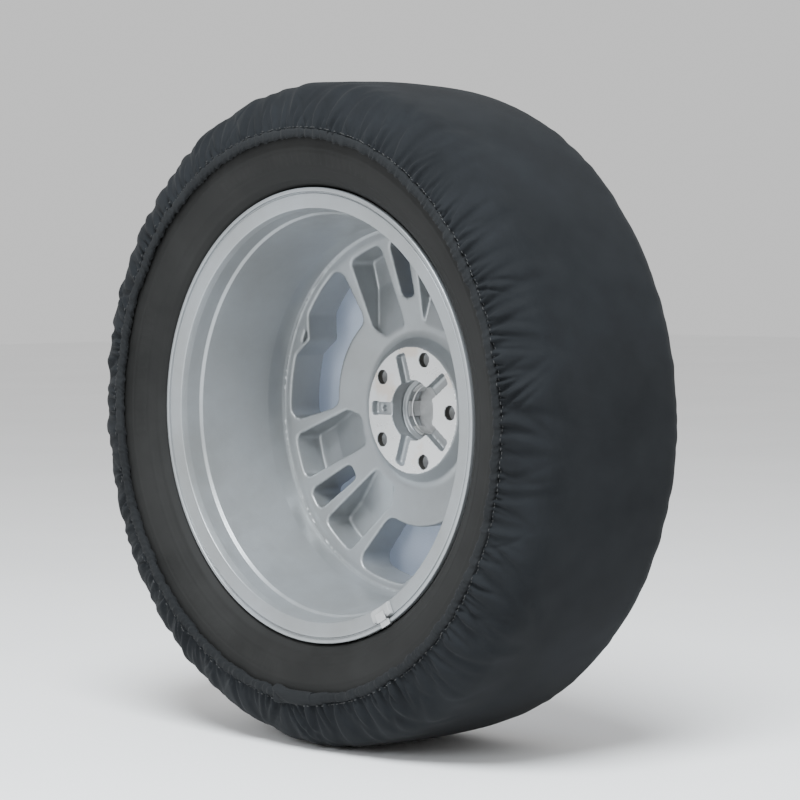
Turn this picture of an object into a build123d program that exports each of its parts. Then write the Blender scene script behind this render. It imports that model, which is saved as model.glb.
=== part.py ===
"""A car wheel and tyre with a textile snow sock pulled over it, one STEP file for each piece.

Frame: millimetres, +Z up. The wheel's axis is Y, and +Y points outboard, away from the car. The
origin is on the axis, in the plane of the hub pad, where the centre bore begins. Sections of
round pieces are drawn as (radius, distance along Y) and turned about the axis.
"""

import os
from math import acos, atan2, cos, degrees, hypot, radians, sin, sqrt

from build123d import *

# ---- Rim: 17 x 6.5J, inset 50 ----
BEAD_SEAT_R = 218.3  # radius where a bead meets the flange
RIM_WIDTH = 165.1  # between the flanges, where the beads sit
OFFSET = 50.0  # hub pad outboard of the rim's middle plane
BEAD_SEAT_W = 18.0
BEAD_TAPER = 1.7  # drop of the bead seat over its width, 5 degrees
HUMP_H = 1.2
HUMP_W = 7.0
FLANGE_H = 17.5
FLANGE_CURL_R = 8.0  # radius of the flange's curl on the tyre side
LIP_OUT = 12.5  # lip beyond the bead seat's end
LIP_EDGE_W = 4.3  # radial width of the lip's flat edge
LIP_GROOVE = 1.6  # how far the lip's bright band lies behind its edge
LIP_BAND_FALL = 1.8  # and how much further its inner side does
LIP_BAND_IN = 3.8  # inner edge of the bright band, below the bead seat
BARREL_IN = 10.3  # barrel's inside, below the bead seat
BARREL_WALL = 5.0
STEP_DEPTH = 27.0  # from the lip to the step inside the barrel
DROP_DEPTH = 17.3  # drop centre, below the bead seat
DROP_FROM, DROP_TO = 20.0, 50.0  # drop centre, from the rim's middle plane
VALVE_WALL_RISE = 14.0  # the steep wall that holds the valve: its height
VALVE_WALL_RUN = 6.0  # and how far it runs along the axis

# ---- Disc ----
RING_T = 15.0  # the ring that joins the spokes to the barrel, below the drop centre
RING_BACK_Y = -8.0
RING_FRONT_Y = 36.0
HUB_FRONT_Y = 42.0
PAD_R = 68.0
PAD_CONE = 10.0  # radial width of the cone round the pad
PAD_H = 12.0  # height of the hub pad over the bowl around it
BOWL_OUT_R = 108.0
BOWL_OUT_Y = 8.0
CENTRE_BORE_R = 32.05
CENTRE_BORE_L = 16.0
UNDERCUT = 3.0
UNDERCUT_L = 4.0
CAP_BORE_R = 29.0
CAP_SEAT_W = 7.5  # radial width of the cap's seat
CAP_SEAT_DEPTH = 4.0
BOLT_COUNT = 5
BOLT_CIRCLE = 114.3
BOLT_HOLE_R = 7.5
NUT_SEAT_W = 5.5  # radial width of the conical nut seat
NUT_SEAT_L = 9.5
NUT_SEAT_Y = 16.0  # its outboard end
NUT_WELL_CLEAR = 2.0
NOTCH_OUT_R = 62.0
NOTCH_W = 14.0
NOTCH_DEPTH = 8.0
TAB_OUT_R = 53.0  # a tab fills one notch as far as this
TAB_SINK = 1.5  # its face, below the hub pad
TAB_HOLE_R, TAB_HOLE_AT = 3.5, 44.6
PAIR_COUNT = 3
PHASE = 215.0  # direction of the first pair of spokes and of one bolt hole
WINDOW_HALF_OUT = 30.5  # degrees either side, at the ring
WINDOW_HALF_IN = 24.8
WINDOW_IN_R = 125.0
WINDOW_CORNER_IN_R = 122.0
WINDOW_FILLET_OUT, WINDOW_FILLET_IN = 12.0, 14.0
SLOT_IN_R = 121.0
SLOT_IN_W, SLOT_OUT_W = 18.0, 25.0
SLOT_TO_RING = 5.0  # wall between the ring's inside and a slot or pocket
POCKET_IN_R = 93.0
POCKET_SIDE_R = 111.0  # where a pocket is widest
POCKET_FROM_IN, POCKET_FROM_OUT = 15.0, 27.5  # distance from the pair's middle line
POCKET_TO_IN, POCKET_TO_OUT = 33.0, 24.2  # degrees from the pair's middle line
POCKET_FILLET = 7.0
POCKET_KNEE_R = 150.0
POCKET_FLOOR_IN_Y, POCKET_FLOOR_Y = 12.0, 27.0
LUG_H = 15.0
LUG_HALF_DEG = 8.5
LUG_TIP_FILLET = 5.0
LUG_WALL = 4.2
LUG_RECESS_DEPTH = 9.0
VALVE_WINDOW = 2  # the valve's window, counted from the one after the first pair
EASE = 0.05  # gap between pieces of one body that only touch

# ---- Tyre: 215/60 R17 ----
SECTION_H = 126.7  # from the bead seat to the tread
SIDE_BULGE = 27.95  # how far a sidewall stands beyond its bead
BULGE_DOWN = 58.0  # widest part, below the tread
TREAD_DROP = 5.5  # fall of the crown at TREAD_HALF
TREAD_HALF = 80.0
SIDE_ARC_R = 70.0
SHOULDER_ARC_R = 30.0
RIM_GUARD_UP = 4.2  # rim guard above the flange
RIM_GUARD_OUT = 11.6  # rim guard beyond the bead seat's end
FLANGE_GAP = 1.5  # between the tyre and the flange's curl
TREAD_THICKNESS = 16.5
SIDE_THICKNESS = 8.0
CAVITY_FILLET = 14.0
GROOVE_DEPTH = 8.0
GROOVES = ((24.0, 10.0), (58.0, 8.5))  # middle and width, on both sides
BELT_T = 1.4
BELT_COVER = 9.6  # rubber over the outer belt
BELT_GAP = 0.8
BELT_HALF = (80.0, 74.0)
BEAD_CORE_R = 4.0
BEAD_CORE_AT = (8.0, 9.5)  # above the seat, and in from the flange
CELL = 0.05  # air around a piece moulded into rubber

# ---- Snow sock ----
SOCK_GAP = 0.3  # between the sock and the tyre
FABRIC_T = 1.2
SEAM_IN = 22.5  # seams, in from the tyre's widest planes
HEM_UP = 3.5  # end of the side fabric, above the tyre's widest part
HEM_W, HEM_H = 11.6, 8.4  # radial and axial size of the inboard hem
HEM_WALL = 1.3
ELASTIC_GAP = 0.5
FACE_OPENING_R = 116.0
FACE_CORD_R = 2.4
FACE_DISH = 5.0  # how far the face panel dips at its opening

# ---- Valve, in its own frame: 0 is the rim wall's air side, + is out of the wheel ----
VALVE_WALL = 4.5
VALVE_HOLE_R = 5.7
VALVE_HEAD_W = 1.6  # head beyond the hole
VALVE_HEAD_H = 7.0
VALVE_POCKET_W = 3.1  # pocket beyond the hole
VALVE_TIP = 33.0
VALVE_THREAD_R = 3.85
VALVE_THREAD_L = 10.5
VALVE_RUBBER_T = 2.7  # rubber round the tube under the thread
VALVE_BORE_R = 2.0
VALVE_TUBE_T = 0.7
CORE_L = 15.0
CORE_BORE_R = 0.75
CORE_WALL = 0.35
CORE_LEDGE = 2.0  # the spring's seat, above the core's inner end
CORE_SEAL_T = 1.2
PIN_R = 0.5
PIN_COLLAR_GAP = 0.15  # between the pin's collar and the core
PIN_COLLAR_DOWN = 2.4  # the spring's upper seat, below the core's outer end
PIN_FOOT_T = 0.7
SPRING_WIRE_R, SPRING_TURNS = 0.2, 8
CAP_WALL, CAP_L, CAP_WALL_END, CAP_GAP = 0.93, 11.5, 1.6, 0.12
CAP_SEAL_T = 1.0
CAP_SEAL_CLEAR = 0.25  # between the valve's tip and the seal
CAP_KNURLS = 18
KNURL_R = 0.32

# ---- Centre cap ----
CAP_FACE_T = 3.0
CAP_FACE_CROWN = 1.6
CAP_FACE_GAP = 0.5  # round the cap, in its seat
CAP_LEG_COUNT = 6
CAP_LEG_T = 1.8
CAP_LEG_DEG = 34.0
CAP_LEG_L = 16.0
CAP_SLIP = 0.12
CAP_RING_WIRE_R = 0.9

# ---- Clip-on balance weight ----
WEIGHT_AT = 298.5  # degrees
WEIGHT_SPAN = 7.0
WEIGHT_H = 13.5
WEIGHT_T = 4.6
CLIP_T = 0.8
CLIP_GAP = 0.15
CLIP_SPAN = 3.4
CLIP_TAIL = 7.0  # how far the clip reaches over the weight

# ---- Derived ----
MID = -OFFSET  # the rim's and the tyre's middle plane
HALF_RIM = RIM_WIDTH / 2
LIP_HALF = HALF_RIM + LIP_OUT
FLANGE_R = BEAD_SEAT_R + FLANGE_H
SEAT_LOW_R = BEAD_SEAT_R - BEAD_TAPER
LIP_BAND_IN_R = BEAD_SEAT_R - LIP_BAND_IN
LIP_BAND_OUT_R = FLANGE_R - LIP_EDGE_W - 2.0
BARREL_IN_R = BEAD_SEAT_R - BARREL_IN
DROP_R = BEAD_SEAT_R - DROP_DEPTH
RING_IN_R = DROP_R - RING_T
SLOT_OUT_R = RING_IN_R - SLOT_TO_RING
LUG_TIP_R = RING_IN_R - LUG_H
PAD_CONE_R = PAD_R + PAD_CONE
CAP_SEAT_R = CAP_BORE_R + CAP_SEAT_W
CAP_SEAT_Y = HUB_FRONT_Y - CAP_SEAT_DEPTH
HALF_SECTION = HALF_RIM + SIDE_BULGE
TYRE_R = BEAD_SEAT_R + SECTION_H
BULGE_R = TYRE_R - BULGE_DOWN
RIM_GUARD_R = FLANGE_R + RIM_GUARD_UP
CROWN_ARC_R = (TREAD_HALF**2 + TREAD_DROP**2) / (2 * TREAD_DROP)
CROWN_CENTRE = TYRE_R - CROWN_ARC_R
SEAM_Y = HALF_SECTION - SEAM_IN
SIDE_EDGE_R = BULGE_R + HEM_UP
FACE_HEM_R = FACE_CORD_R + ELASTIC_GAP + HEM_WALL
WEIGHT_IN_R = LIP_BAND_IN_R + 1.0
WEIGHT_OUT_R = WEIGHT_IN_R + WEIGHT_H
OUTSIDE = TYRE_R + 20.0  # a radius beyond everything
FAR = HALF_SECTION + 60.0  # beyond everything along Y, from the middle plane
FRONT_PLANE = Plane(origin=(0, MID + FAR, 0), x_dir=(1, 0, 0), z_dir=(0, -1, 0))


def at(r, along):
    """A section point: radius, and distance along Y from the rim's middle plane."""
    return (r, MID + along)


def polar(r, deg):
    return (r * cos(radians(deg)), r * sin(radians(deg)))


def turned(section):
    """The solid of a section drawn in the XY plane, turned about the wheel's axis."""
    return revolve(section, Axis.Y, 360)


def arc(centre, radius, start, end):
    """An arc in the XY plane about centre, from the angle start to the angle end, in degrees."""
    points = [
        (centre[0] + radius * cos(radians(a)), centre[1] + radius * sin(radians(a)))
        for a in (start, (start + end) / 2, end)
    ]
    return ThreePointArc(*points)


def joined(*edges):
    """A closed face from edges given in order, with straight lines across any gaps."""
    chain = []
    for i, edge in enumerate(edges):
        chain.append(edge)
        here, there = edge @ 1, edges[(i + 1) % len(edges)] @ 0
        if (there - here).length > 1e-6:
            chain.append(Line(here, there))
    return make_face(chain)


def cut_through(outline, turn=0.0):
    """A cutter along Y, the whole way through, from an outline whose X and Y are X and Z."""
    return extrude(FRONT_PLANE * Rot(0, 0, turn) * outline, 2 * FAR)


# ---------------------------------------------------------------- wheel
def flange_half(side):
    """Section points of one flange and bead seat, from the lip's band to the hump's far foot."""
    seat_end = HALF_RIM - BEAD_SEAT_W
    points = [
        (LIP_BAND_IN_R, LIP_HALF - LIP_GROOVE - LIP_BAND_FALL),
        (LIP_BAND_OUT_R, LIP_HALF - LIP_GROOVE),
        (FLANGE_R - LIP_EDGE_W, LIP_HALF),
        (FLANGE_R - 0.8, LIP_HALF),
        (FLANGE_R, HALF_RIM + FLANGE_CURL_R),
        (FLANGE_R - FLANGE_CURL_R * (1 - cos(radians(45))),
         HALF_RIM + FLANGE_CURL_R * (1 - sin(radians(45)))),
        (FLANGE_R - FLANGE_CURL_R, HALF_RIM),
        (BEAD_SEAT_R + 1.0, HALF_RIM),
        (BEAD_SEAT_R, HALF_RIM - 1.0),
        (SEAT_LOW_R, seat_end),
        (SEAT_LOW_R + HUMP_H, seat_end - HUMP_W / 2),
        (SEAT_LOW_R, seat_end - HUMP_W),
    ]
    return [at(r, side * along) for r, along in points]


def rim_section():
    """The rim with the ring that carries the spokes."""
    inboard = flange_half(-1)
    outboard = flange_half(1)[::-1]
    ring_back = OFFSET + RING_BACK_Y
    ring_front = OFFSET + RING_FRONT_Y
    step = STEP_DEPTH - LIP_HALF
    drop_inside = DROP_R - BARREL_WALL + 0.5
    air_side = [
        at(BARREL_IN_R + BARREL_WALL - 1.5, HUMP_W + BEAD_SEAT_W - HALF_RIM + 6.0),
        at(DROP_R + 1.0, DROP_FROM - 6.0),
        at(DROP_R, DROP_FROM),
        at(DROP_R, DROP_TO),
        at(DROP_R + VALVE_WALL_RISE, DROP_TO + VALVE_WALL_RUN),
    ]
    inside = [
        at(DROP_R + 6.0, ring_front + 4.0),
        at(DROP_R + 2.0, ring_front),
        at(RING_IN_R, ring_front),
        at(RING_IN_R, ring_back),
        at(drop_inside - 2.0, ring_back),
        at(drop_inside, ring_back - 4.0),
        at(drop_inside, DROP_FROM - 2.0),
        at(BARREL_IN_R, step + 1.5),
        at(BARREL_IN_R + 3.0, step),
        at(LIP_BAND_IN_R - 1.5, 10.0 - LIP_HALF),
    ]
    return make_face(Polyline(*inboard, *air_side, *outboard, *inside, close=True))


def disc_section():
    """The disc inside the ring: hub, bowl and spokes, before anything is cut through it."""
    points = [
        (CENTRE_BORE_R, 0.0),
        (PAD_R, 0.0),
        (PAD_CONE_R, PAD_H),
        (PAD_CONE_R + 6.0, PAD_H + 1.0),
        (BOWL_OUT_R, BOWL_OUT_Y),
        (RING_IN_R + 1.0, RING_BACK_Y),
        (RING_IN_R + 1.0, RING_FRONT_Y),
        (BOWL_OUT_R, HUB_FRONT_Y + 2.0),
        (PAD_CONE_R, HUB_FRONT_Y),
        (CAP_SEAT_R, HUB_FRONT_Y),
        (CAP_SEAT_R, CAP_SEAT_Y),
        (CAP_BORE_R, CAP_SEAT_Y),
        (CAP_BORE_R, CENTRE_BORE_L + UNDERCUT_L),
        (CENTRE_BORE_R + UNDERCUT, CENTRE_BORE_L + UNDERCUT_L),
        (CENTRE_BORE_R + UNDERCUT, CENTRE_BORE_L),
        (CENTRE_BORE_R, CENTRE_BORE_L),
    ]
    return make_face(Polyline(*points, close=True))


def window_outline():
    """A window between two pairs of spokes, about the +X direction."""
    out_up, out_down = polar(RING_IN_R, WINDOW_HALF_OUT), polar(RING_IN_R, -WINDOW_HALF_OUT)
    in_up = polar(WINDOW_CORNER_IN_R, WINDOW_HALF_IN)
    in_down = polar(WINDOW_CORNER_IN_R, -WINDOW_HALF_IN)
    face = make_face([
        ThreePointArc(out_down, (RING_IN_R, 0), out_up),
        Line(out_up, in_up),
        ThreePointArc(in_up, (WINDOW_IN_R, 0), in_down),
        Line(in_down, out_down),
    ])
    outer = face.vertices().filter_by(lambda v: hypot(v.X, v.Y) > WINDOW_IN_R)
    face = fillet(outer, WINDOW_FILLET_OUT)
    inner = face.vertices().filter_by(lambda v: hypot(v.X, v.Y) < WINDOW_IN_R)
    return fillet(inner, WINDOW_FILLET_IN)


def slot_outline():
    """The slot between the two spokes of a pair, about the +X direction."""
    face = make_face(Polyline(
        (SLOT_IN_R, -SLOT_IN_W / 2), (SLOT_OUT_R, -SLOT_OUT_W / 2),
        (SLOT_OUT_R, SLOT_OUT_W / 2), (SLOT_IN_R, SLOT_IN_W / 2), close=True,
    ))
    return fillet(face.vertices(), 0.38 * SLOT_IN_W)


def pocket_outline(side):
    """The pocket in the back of one spoke, on the side (1 or -1) of the pair's middle line."""
    from_out = degrees(atan2(POCKET_FROM_OUT, SLOT_OUT_R))
    out_a = polar(SLOT_OUT_R, side * from_out)
    out_mid = polar(SLOT_OUT_R, side * (from_out + POCKET_TO_OUT) / 2)
    out_b = polar(SLOT_OUT_R, side * POCKET_TO_OUT)
    knee = polar(POCKET_SIDE_R, side * POCKET_TO_IN)
    in_b = polar(POCKET_IN_R, side * (POCKET_TO_IN - 4.0))
    in_a = (sqrt(POCKET_IN_R**2 - POCKET_FROM_IN**2), side * POCKET_FROM_IN)
    face = make_face([
        ThreePointArc(out_a, out_mid, out_b),
        Line(out_b, knee), Line(knee, in_b), Line(in_b, in_a), Line(in_a, out_a),
    ])
    return fillet(face.vertices(), POCKET_FILLET)


def pocket_room():
    """Everything on the inboard side of the pockets' floors."""
    return turned(make_face(Polyline(
        (POCKET_IN_R - 8.0, -60.0), (POCKET_IN_R - 8.0, POCKET_FLOOR_IN_Y - 3.0),
        (POCKET_IN_R, POCKET_FLOOR_IN_Y), (POCKET_KNEE_R, POCKET_FLOOR_Y),
        (SLOT_OUT_R + 4.0, POCKET_FLOOR_Y), (SLOT_OUT_R + 4.0, -60.0), close=True,
    )))


def lug(angle):
    """The triangular lug on the ring in the middle of a window, with its recess."""
    base = RING_IN_R + 2.0
    outline = make_face(Polyline(
        polar(base, LUG_HALF_DEG), (LUG_TIP_R, 0), polar(base, -LUG_HALF_DEG), close=True,
    ))
    tip = outline.vertices().sort_by(Axis.X)[0]
    outline = fillet(tip, LUG_TIP_FILLET)
    block = extrude(FRONT_PLANE * Rot(0, 0, angle) * outline, 2 * FAR)
    block &= turned(make_face(Polyline(
        (LUG_TIP_R - 5.0, RING_BACK_Y), (base + 6.0, RING_BACK_Y),
        (base + 6.0, RING_FRONT_Y), (LUG_TIP_R - 5.0, RING_FRONT_Y), close=True,
    )))
    recess = offset(outline, -LUG_WALL, kind=Kind.INTERSECTION)
    recess = extrude(FRONT_PLANE * Rot(0, 0, angle) * recess, 2 * FAR)
    recess &= turned(make_face(Polyline(
        (LUG_TIP_R - 5.0, -60.0), (BEAD_SEAT_R, -60.0),
        (BEAD_SEAT_R, RING_BACK_Y + LUG_RECESS_DEPTH),
        (LUG_TIP_R - 5.0, RING_BACK_Y + LUG_RECESS_DEPTH), close=True,
    )))
    return block - recess


def window_angle(number):
    """Direction of the middle of a window. Windows lie half a pitch past the pairs of spokes."""
    return PHASE + (number + 0.5) * 360.0 / PAIR_COUNT


def valve_plane():
    """The valve's frame: its origin in the middle of the steep wall, +Z out of the wheel."""
    angle = window_angle(VALVE_WINDOW)
    x, z = polar(DROP_R + VALVE_WALL_RISE / 2, angle)
    wall = hypot(VALVE_WALL_RISE, VALVE_WALL_RUN)
    inward_x, inward_z = polar(-VALVE_WALL_RUN / wall, angle)
    across_x, across_z = polar(1.0, angle + 90.0)
    return Plane(
        origin=(x, MID + DROP_TO + VALVE_WALL_RUN / 2, z),
        x_dir=(across_x, 0, across_z),
        z_dir=(inward_x, VALVE_WALL_RISE / wall, inward_z),
    )


def alloy_wheel():
    """The one-piece casting: rim, three pairs of spokes and hub."""
    body = turned(rim_section()) + turned(disc_section())
    pitch = 360.0 / PAIR_COUNT
    room = pocket_room()
    for i in range(PAIR_COUNT):
        body -= cut_through(window_outline(), window_angle(i))
        body += lug(window_angle(i))
        body -= cut_through(slot_outline(), PHASE + i * pitch)
        for side in (1, -1):
            body -= cut_through(pocket_outline(side), PHASE + i * pitch) & room
    bolt_r = BOLT_CIRCLE / 2
    hole = Cylinder(BOLT_HOLE_R, 200.0)
    nut_r = BOLT_HOLE_R + NUT_SEAT_W
    seat = Pos(0, 0, NUT_SEAT_Y - NUT_SEAT_L / 2) * Cone(BOLT_HOLE_R, nut_r, NUT_SEAT_L)
    well = Pos(0, 0, NUT_SEAT_Y + 50.0) * Cylinder(nut_r + NUT_WELL_CLEAR, 100.0)
    nut_room = hole + seat + well
    notch = Pos(NOTCH_OUT_R / 2, 0, 0) * Box(NOTCH_OUT_R, NOTCH_W, 2 * NOTCH_DEPTH)
    notch = fillet(notch.edges().filter_by(Axis.Z).group_by(Axis.X)[-1], 3.0)
    tab = Pos(TAB_OUT_R / 2, 0, TAB_SINK + NOTCH_DEPTH) * Box(TAB_OUT_R, NOTCH_W, 2 * NOTCH_DEPTH)
    tab -= Pos(TAB_HOLE_AT, 0, 0) * Cylinder(TAB_HOLE_R, 2 * NOTCH_DEPTH)
    outboard = Plane(origin=(0, 0, 0), x_dir=(1, 0, 0), z_dir=(0, 1, 0))
    for i in range(BOLT_COUNT):
        turn = -PHASE + i * 360.0 / BOLT_COUNT
        body -= outboard * Rot(0, 0, turn) * Pos(bolt_r, 0, 0) * nut_room
        body -= outboard * Rot(0, 0, turn + 180.0 / BOLT_COUNT) * (notch - tab if i == 0 else notch)
    plane = valve_plane()
    body -= plane * Cylinder(VALVE_HOLE_R, 60.0)
    body -= plane * Pos(0, 0, VALVE_WALL + 40.0) * Cylinder(VALVE_HOLE_R + VALVE_POCKET_W, 80.0)
    return body


# ---------------------------------------------------------------- tyre
def meeting(c1, r1, c2, r2, far):
    """The point at distance r1 from c1 and r2 from c2 with the larger first coordinate."""
    gap = hypot(c2[0] - c1[0], c2[1] - c1[1])
    turn = acos((r1**2 + gap**2 - r2**2) / (2 * r1 * gap))
    base = atan2(c2[1] - c1[1], c2[0] - c1[0])
    found = [
        (c1[0] + r1 * cos(base + s * turn), c1[1] + r1 * sin(base + s * turn)) for s in (1, -1)
    ]
    return max(found, key=lambda p: p[1] * far)


def aim(a, b):
    """The direction from a to b, in degrees."""
    return degrees(atan2(b[1] - a[1], b[0] - a[0]))


def tyre_envelope():
    """The tyre's outer section with no cavity, as a closed face down to the bead seats."""
    crown_centre = at(CROWN_CENTRE, 0)
    edges = []
    for side in (-1, 1):
        side_centre = at(BULGE_R, side * (HALF_SECTION - SIDE_ARC_R))
        shoulder = meeting(
            side_centre, SIDE_ARC_R - SHOULDER_ARC_R,
            crown_centre, CROWN_ARC_R - SHOULDER_ARC_R, side,
        )
        guard = at(RIM_GUARD_R, side * (HALF_RIM + RIM_GUARD_OUT))
        bulge = at(BULGE_R, side * HALF_SECTION)
        fall = HALF_SECTION - HALF_RIM - RIM_GUARD_OUT
        low_r = ((BULGE_R - RIM_GUARD_R) ** 2 + fall**2) / (2 * fall)
        low_centre = at(BULGE_R, side * (HALF_SECTION - low_r))
        curl_centre = at(FLANGE_R - FLANGE_CURL_R, side * (HALF_RIM + FLANGE_CURL_R))
        to_crown = aim(crown_centre, shoulder)
        to_side = aim(side_centre, shoulder)
        curl_r = FLANGE_CURL_R + FLANGE_GAP
        heel = [
            at(SEAT_LOW_R + EASE, side * (HALF_RIM - BEAD_SEAT_W)),
            at(BEAD_SEAT_R + EASE, side * (HALF_RIM - 1.0 - EASE)),
            at(BEAD_SEAT_R + 1.0 + EASE, side * (HALF_RIM - EASE)),
            at(BEAD_SEAT_R + 6.0, side * (HALF_RIM - EASE)),
        ]
        half = [
            *(Line(p, q) for p, q in zip(heel, heel[1:])),
            Line(heel[-1], (curl_centre[0], curl_centre[1] - side * curl_r)),
            arc(curl_centre, curl_r, -side * 90.0, 0.0),
            Line((curl_centre[0] + curl_r, curl_centre[1]), guard),
            arc(low_centre, low_r, aim(low_centre, guard), side * 90.0),
            arc(side_centre, SIDE_ARC_R, side * 90.0, to_side),
            arc(shoulder, SHOULDER_ARC_R, to_side, to_crown),
            arc(crown_centre, CROWN_ARC_R, to_crown, 0.0),
        ]
        edges.append(half)
    bottom = Line(edges[0][0] @ 0, edges[1][0] @ 0)
    return make_face(edges[0] + edges[1] + [bottom])


def cavity():
    """The section of the air space in the tyre."""
    toe = HALF_RIM - BEAD_SEAT_W
    inner_crown = TYRE_R - TREAD_THICKNESS
    side = HALF_SECTION - SIDE_THICKNESS
    half = [
        (BEAD_SEAT_R - 30.0, toe),
        (SEAT_LOW_R - 1.0, toe),
        (BEAD_SEAT_R + 10.0, toe + 3.5),
        (RIM_GUARD_R + 12.0, side - 9.5),
        (BULGE_R, side),
        (TYRE_R - 24.0, side - 16.0),
        (inner_crown - 1.5, TREAD_HALF - 30.0),
    ]
    points = [at(r, -y) for r, y in half] + [at(inner_crown, 0)]
    points += [at(r, y) for r, y in half[::-1]]
    face = make_face(Polyline(*points, close=True))
    rounded = face.vertices().filter_by(lambda v: v.X > BEAD_SEAT_R + 20.0 and v.X < inner_crown)
    return fillet(rounded, CAVITY_FILLET)


def grooves():
    """The sections of the four grooves round the tread."""
    cuts = []
    for middle, width in GROOVES:
        for side in (-1, 1):
            drop = middle**2 / (2 * CROWN_ARC_R)
            r = TYRE_R - drop - GROOVE_DEPTH
            cuts.append(make_face(Polyline(
                at(r, side * middle - width * 0.36), at(r, side * middle + width * 0.36),
                at(TYRE_R + 2.0, side * middle + width * 0.58),
                at(TYRE_R + 2.0, side * middle - width * 0.58), close=True,
            )))
    return cuts


def bead_core_centre(side):
    up, back = BEAD_CORE_AT
    return at(BEAD_SEAT_R - BEAD_TAPER / 2 + up, side * (HALF_RIM - back))


def belt_section(number, grow=0.0):
    """One steel belt, number 0 outside and 1 inside. grow adds room all round it."""
    outer = CROWN_ARC_R - BELT_COVER - number * (BELT_T + BELT_GAP)
    centre = at(CROWN_CENTRE, 0)
    half = BELT_HALF[number] + grow
    half_deg = degrees(half / outer)
    return joined(
        arc(centre, outer + grow, -half_deg, half_deg),
        arc(centre, outer - BELT_T - grow, half_deg, -half_deg),
    )


def tyre():
    section = tyre_envelope() - cavity()
    for cut in grooves():
        section -= cut
    for side in (-1, 1):
        r, y = bead_core_centre(side)
        section -= Pos(r, y) * Circle(BEAD_CORE_R + CELL)
    for number in (0, 1):
        section -= belt_section(number, CELL)
    return turned(section)


def bead_core(side):
    r, y = bead_core_centre(side)
    return turned(Pos(r, y) * Circle(BEAD_CORE_R))


# ---------------------------------------------------------------- sock
def window_box(r_from, r_to, y_from, y_to):
    """A rectangle of the section plane, y from the middle plane."""
    return Pos((r_from + r_to) / 2, MID + (y_from + y_to) / 2) * Rectangle(r_to - r_from, y_to - y_from)


def sock_skin():
    """The section of a fabric layer all round the tyre."""
    envelope = tyre_envelope()
    outer = offset(envelope, SOCK_GAP + FABRIC_T, kind=Kind.ARC)
    return outer - offset(envelope, SOCK_GAP, kind=Kind.ARC)


def tread_panel():
    return turned(sock_skin() & window_box(BULGE_R, OUTSIDE, -SEAM_Y, SEAM_Y))


def side_skin(side):
    """The side fabric, from the seam on the shoulder to the edge above the bulge."""
    low, high = sorted((side * SEAM_Y, side * FAR))
    return sock_skin() & window_box(SIDE_EDGE_R, TYRE_R, low, high)


def hem_centre():
    """The middle of the inboard hem, which lies on the tyre's widest part."""
    return at(SIDE_EDGE_R, -(HALF_SECTION + SOCK_GAP + HEM_H / 2))


def inboard_side_panel():
    """Side fabric that turns over at its edge into a hollow hem."""
    r, y = hem_centre()
    hem = Pos(r, y) * RectangleRounded(HEM_W, HEM_H, 0.42 * HEM_H)
    room = Pos(r, y) * RectangleRounded(
        HEM_W - 2 * HEM_WALL, HEM_H - 2 * HEM_WALL, 0.3 * HEM_H
    )
    return turned(side_skin(-1) + hem - room)


def inboard_elastic():
    r, y = hem_centre()
    width = HEM_W - 2 * (HEM_WALL + ELASTIC_GAP)
    height = HEM_H - 2 * (HEM_WALL + ELASTIC_GAP)
    return turned(Pos(r, y) * RectangleRounded(width, height, 0.3 * height))


def face_y(r):
    """Distance of the face panel's wheel side from the middle plane, at radius r."""
    share = (SIDE_EDGE_R - r) / (SIDE_EDGE_R - FACE_OPENING_R)
    return HALF_SECTION + SOCK_GAP - FACE_DISH * share


def face_panel():
    """The pale panel over the wheel's face, with a round hem at its opening."""
    r_hem = FACE_OPENING_R + FACE_HEM_R
    y_hem = face_y(r_hem) + FABRIC_T / 2
    sheet = make_face(Polyline(
        at(SIDE_EDGE_R, face_y(SIDE_EDGE_R)), at(SIDE_EDGE_R, face_y(SIDE_EDGE_R) + FABRIC_T),
        at(r_hem, face_y(r_hem) + FABRIC_T), at(r_hem, face_y(r_hem)), close=True,
    ))
    hem = Pos(*at(r_hem, y_hem)) * Circle(FACE_HEM_R)
    room = Pos(*at(r_hem, y_hem)) * Circle(FACE_HEM_R - HEM_WALL)
    return turned(sheet + hem - room)


def face_cord():
    r_hem = FACE_OPENING_R + FACE_HEM_R
    return turned(Pos(*at(r_hem, face_y(r_hem) + FABRIC_T / 2)) * Circle(FACE_CORD_R))


def outboard_side_panel():
    return turned(side_skin(1))


# ---------------------------------------------------------------- valve
def spun(*points):
    """A solid turned about Z from (radius, height) points."""
    return revolve(Plane.XZ * make_face(Polyline(*points, close=True)), Axis.Z, 360)


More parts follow.
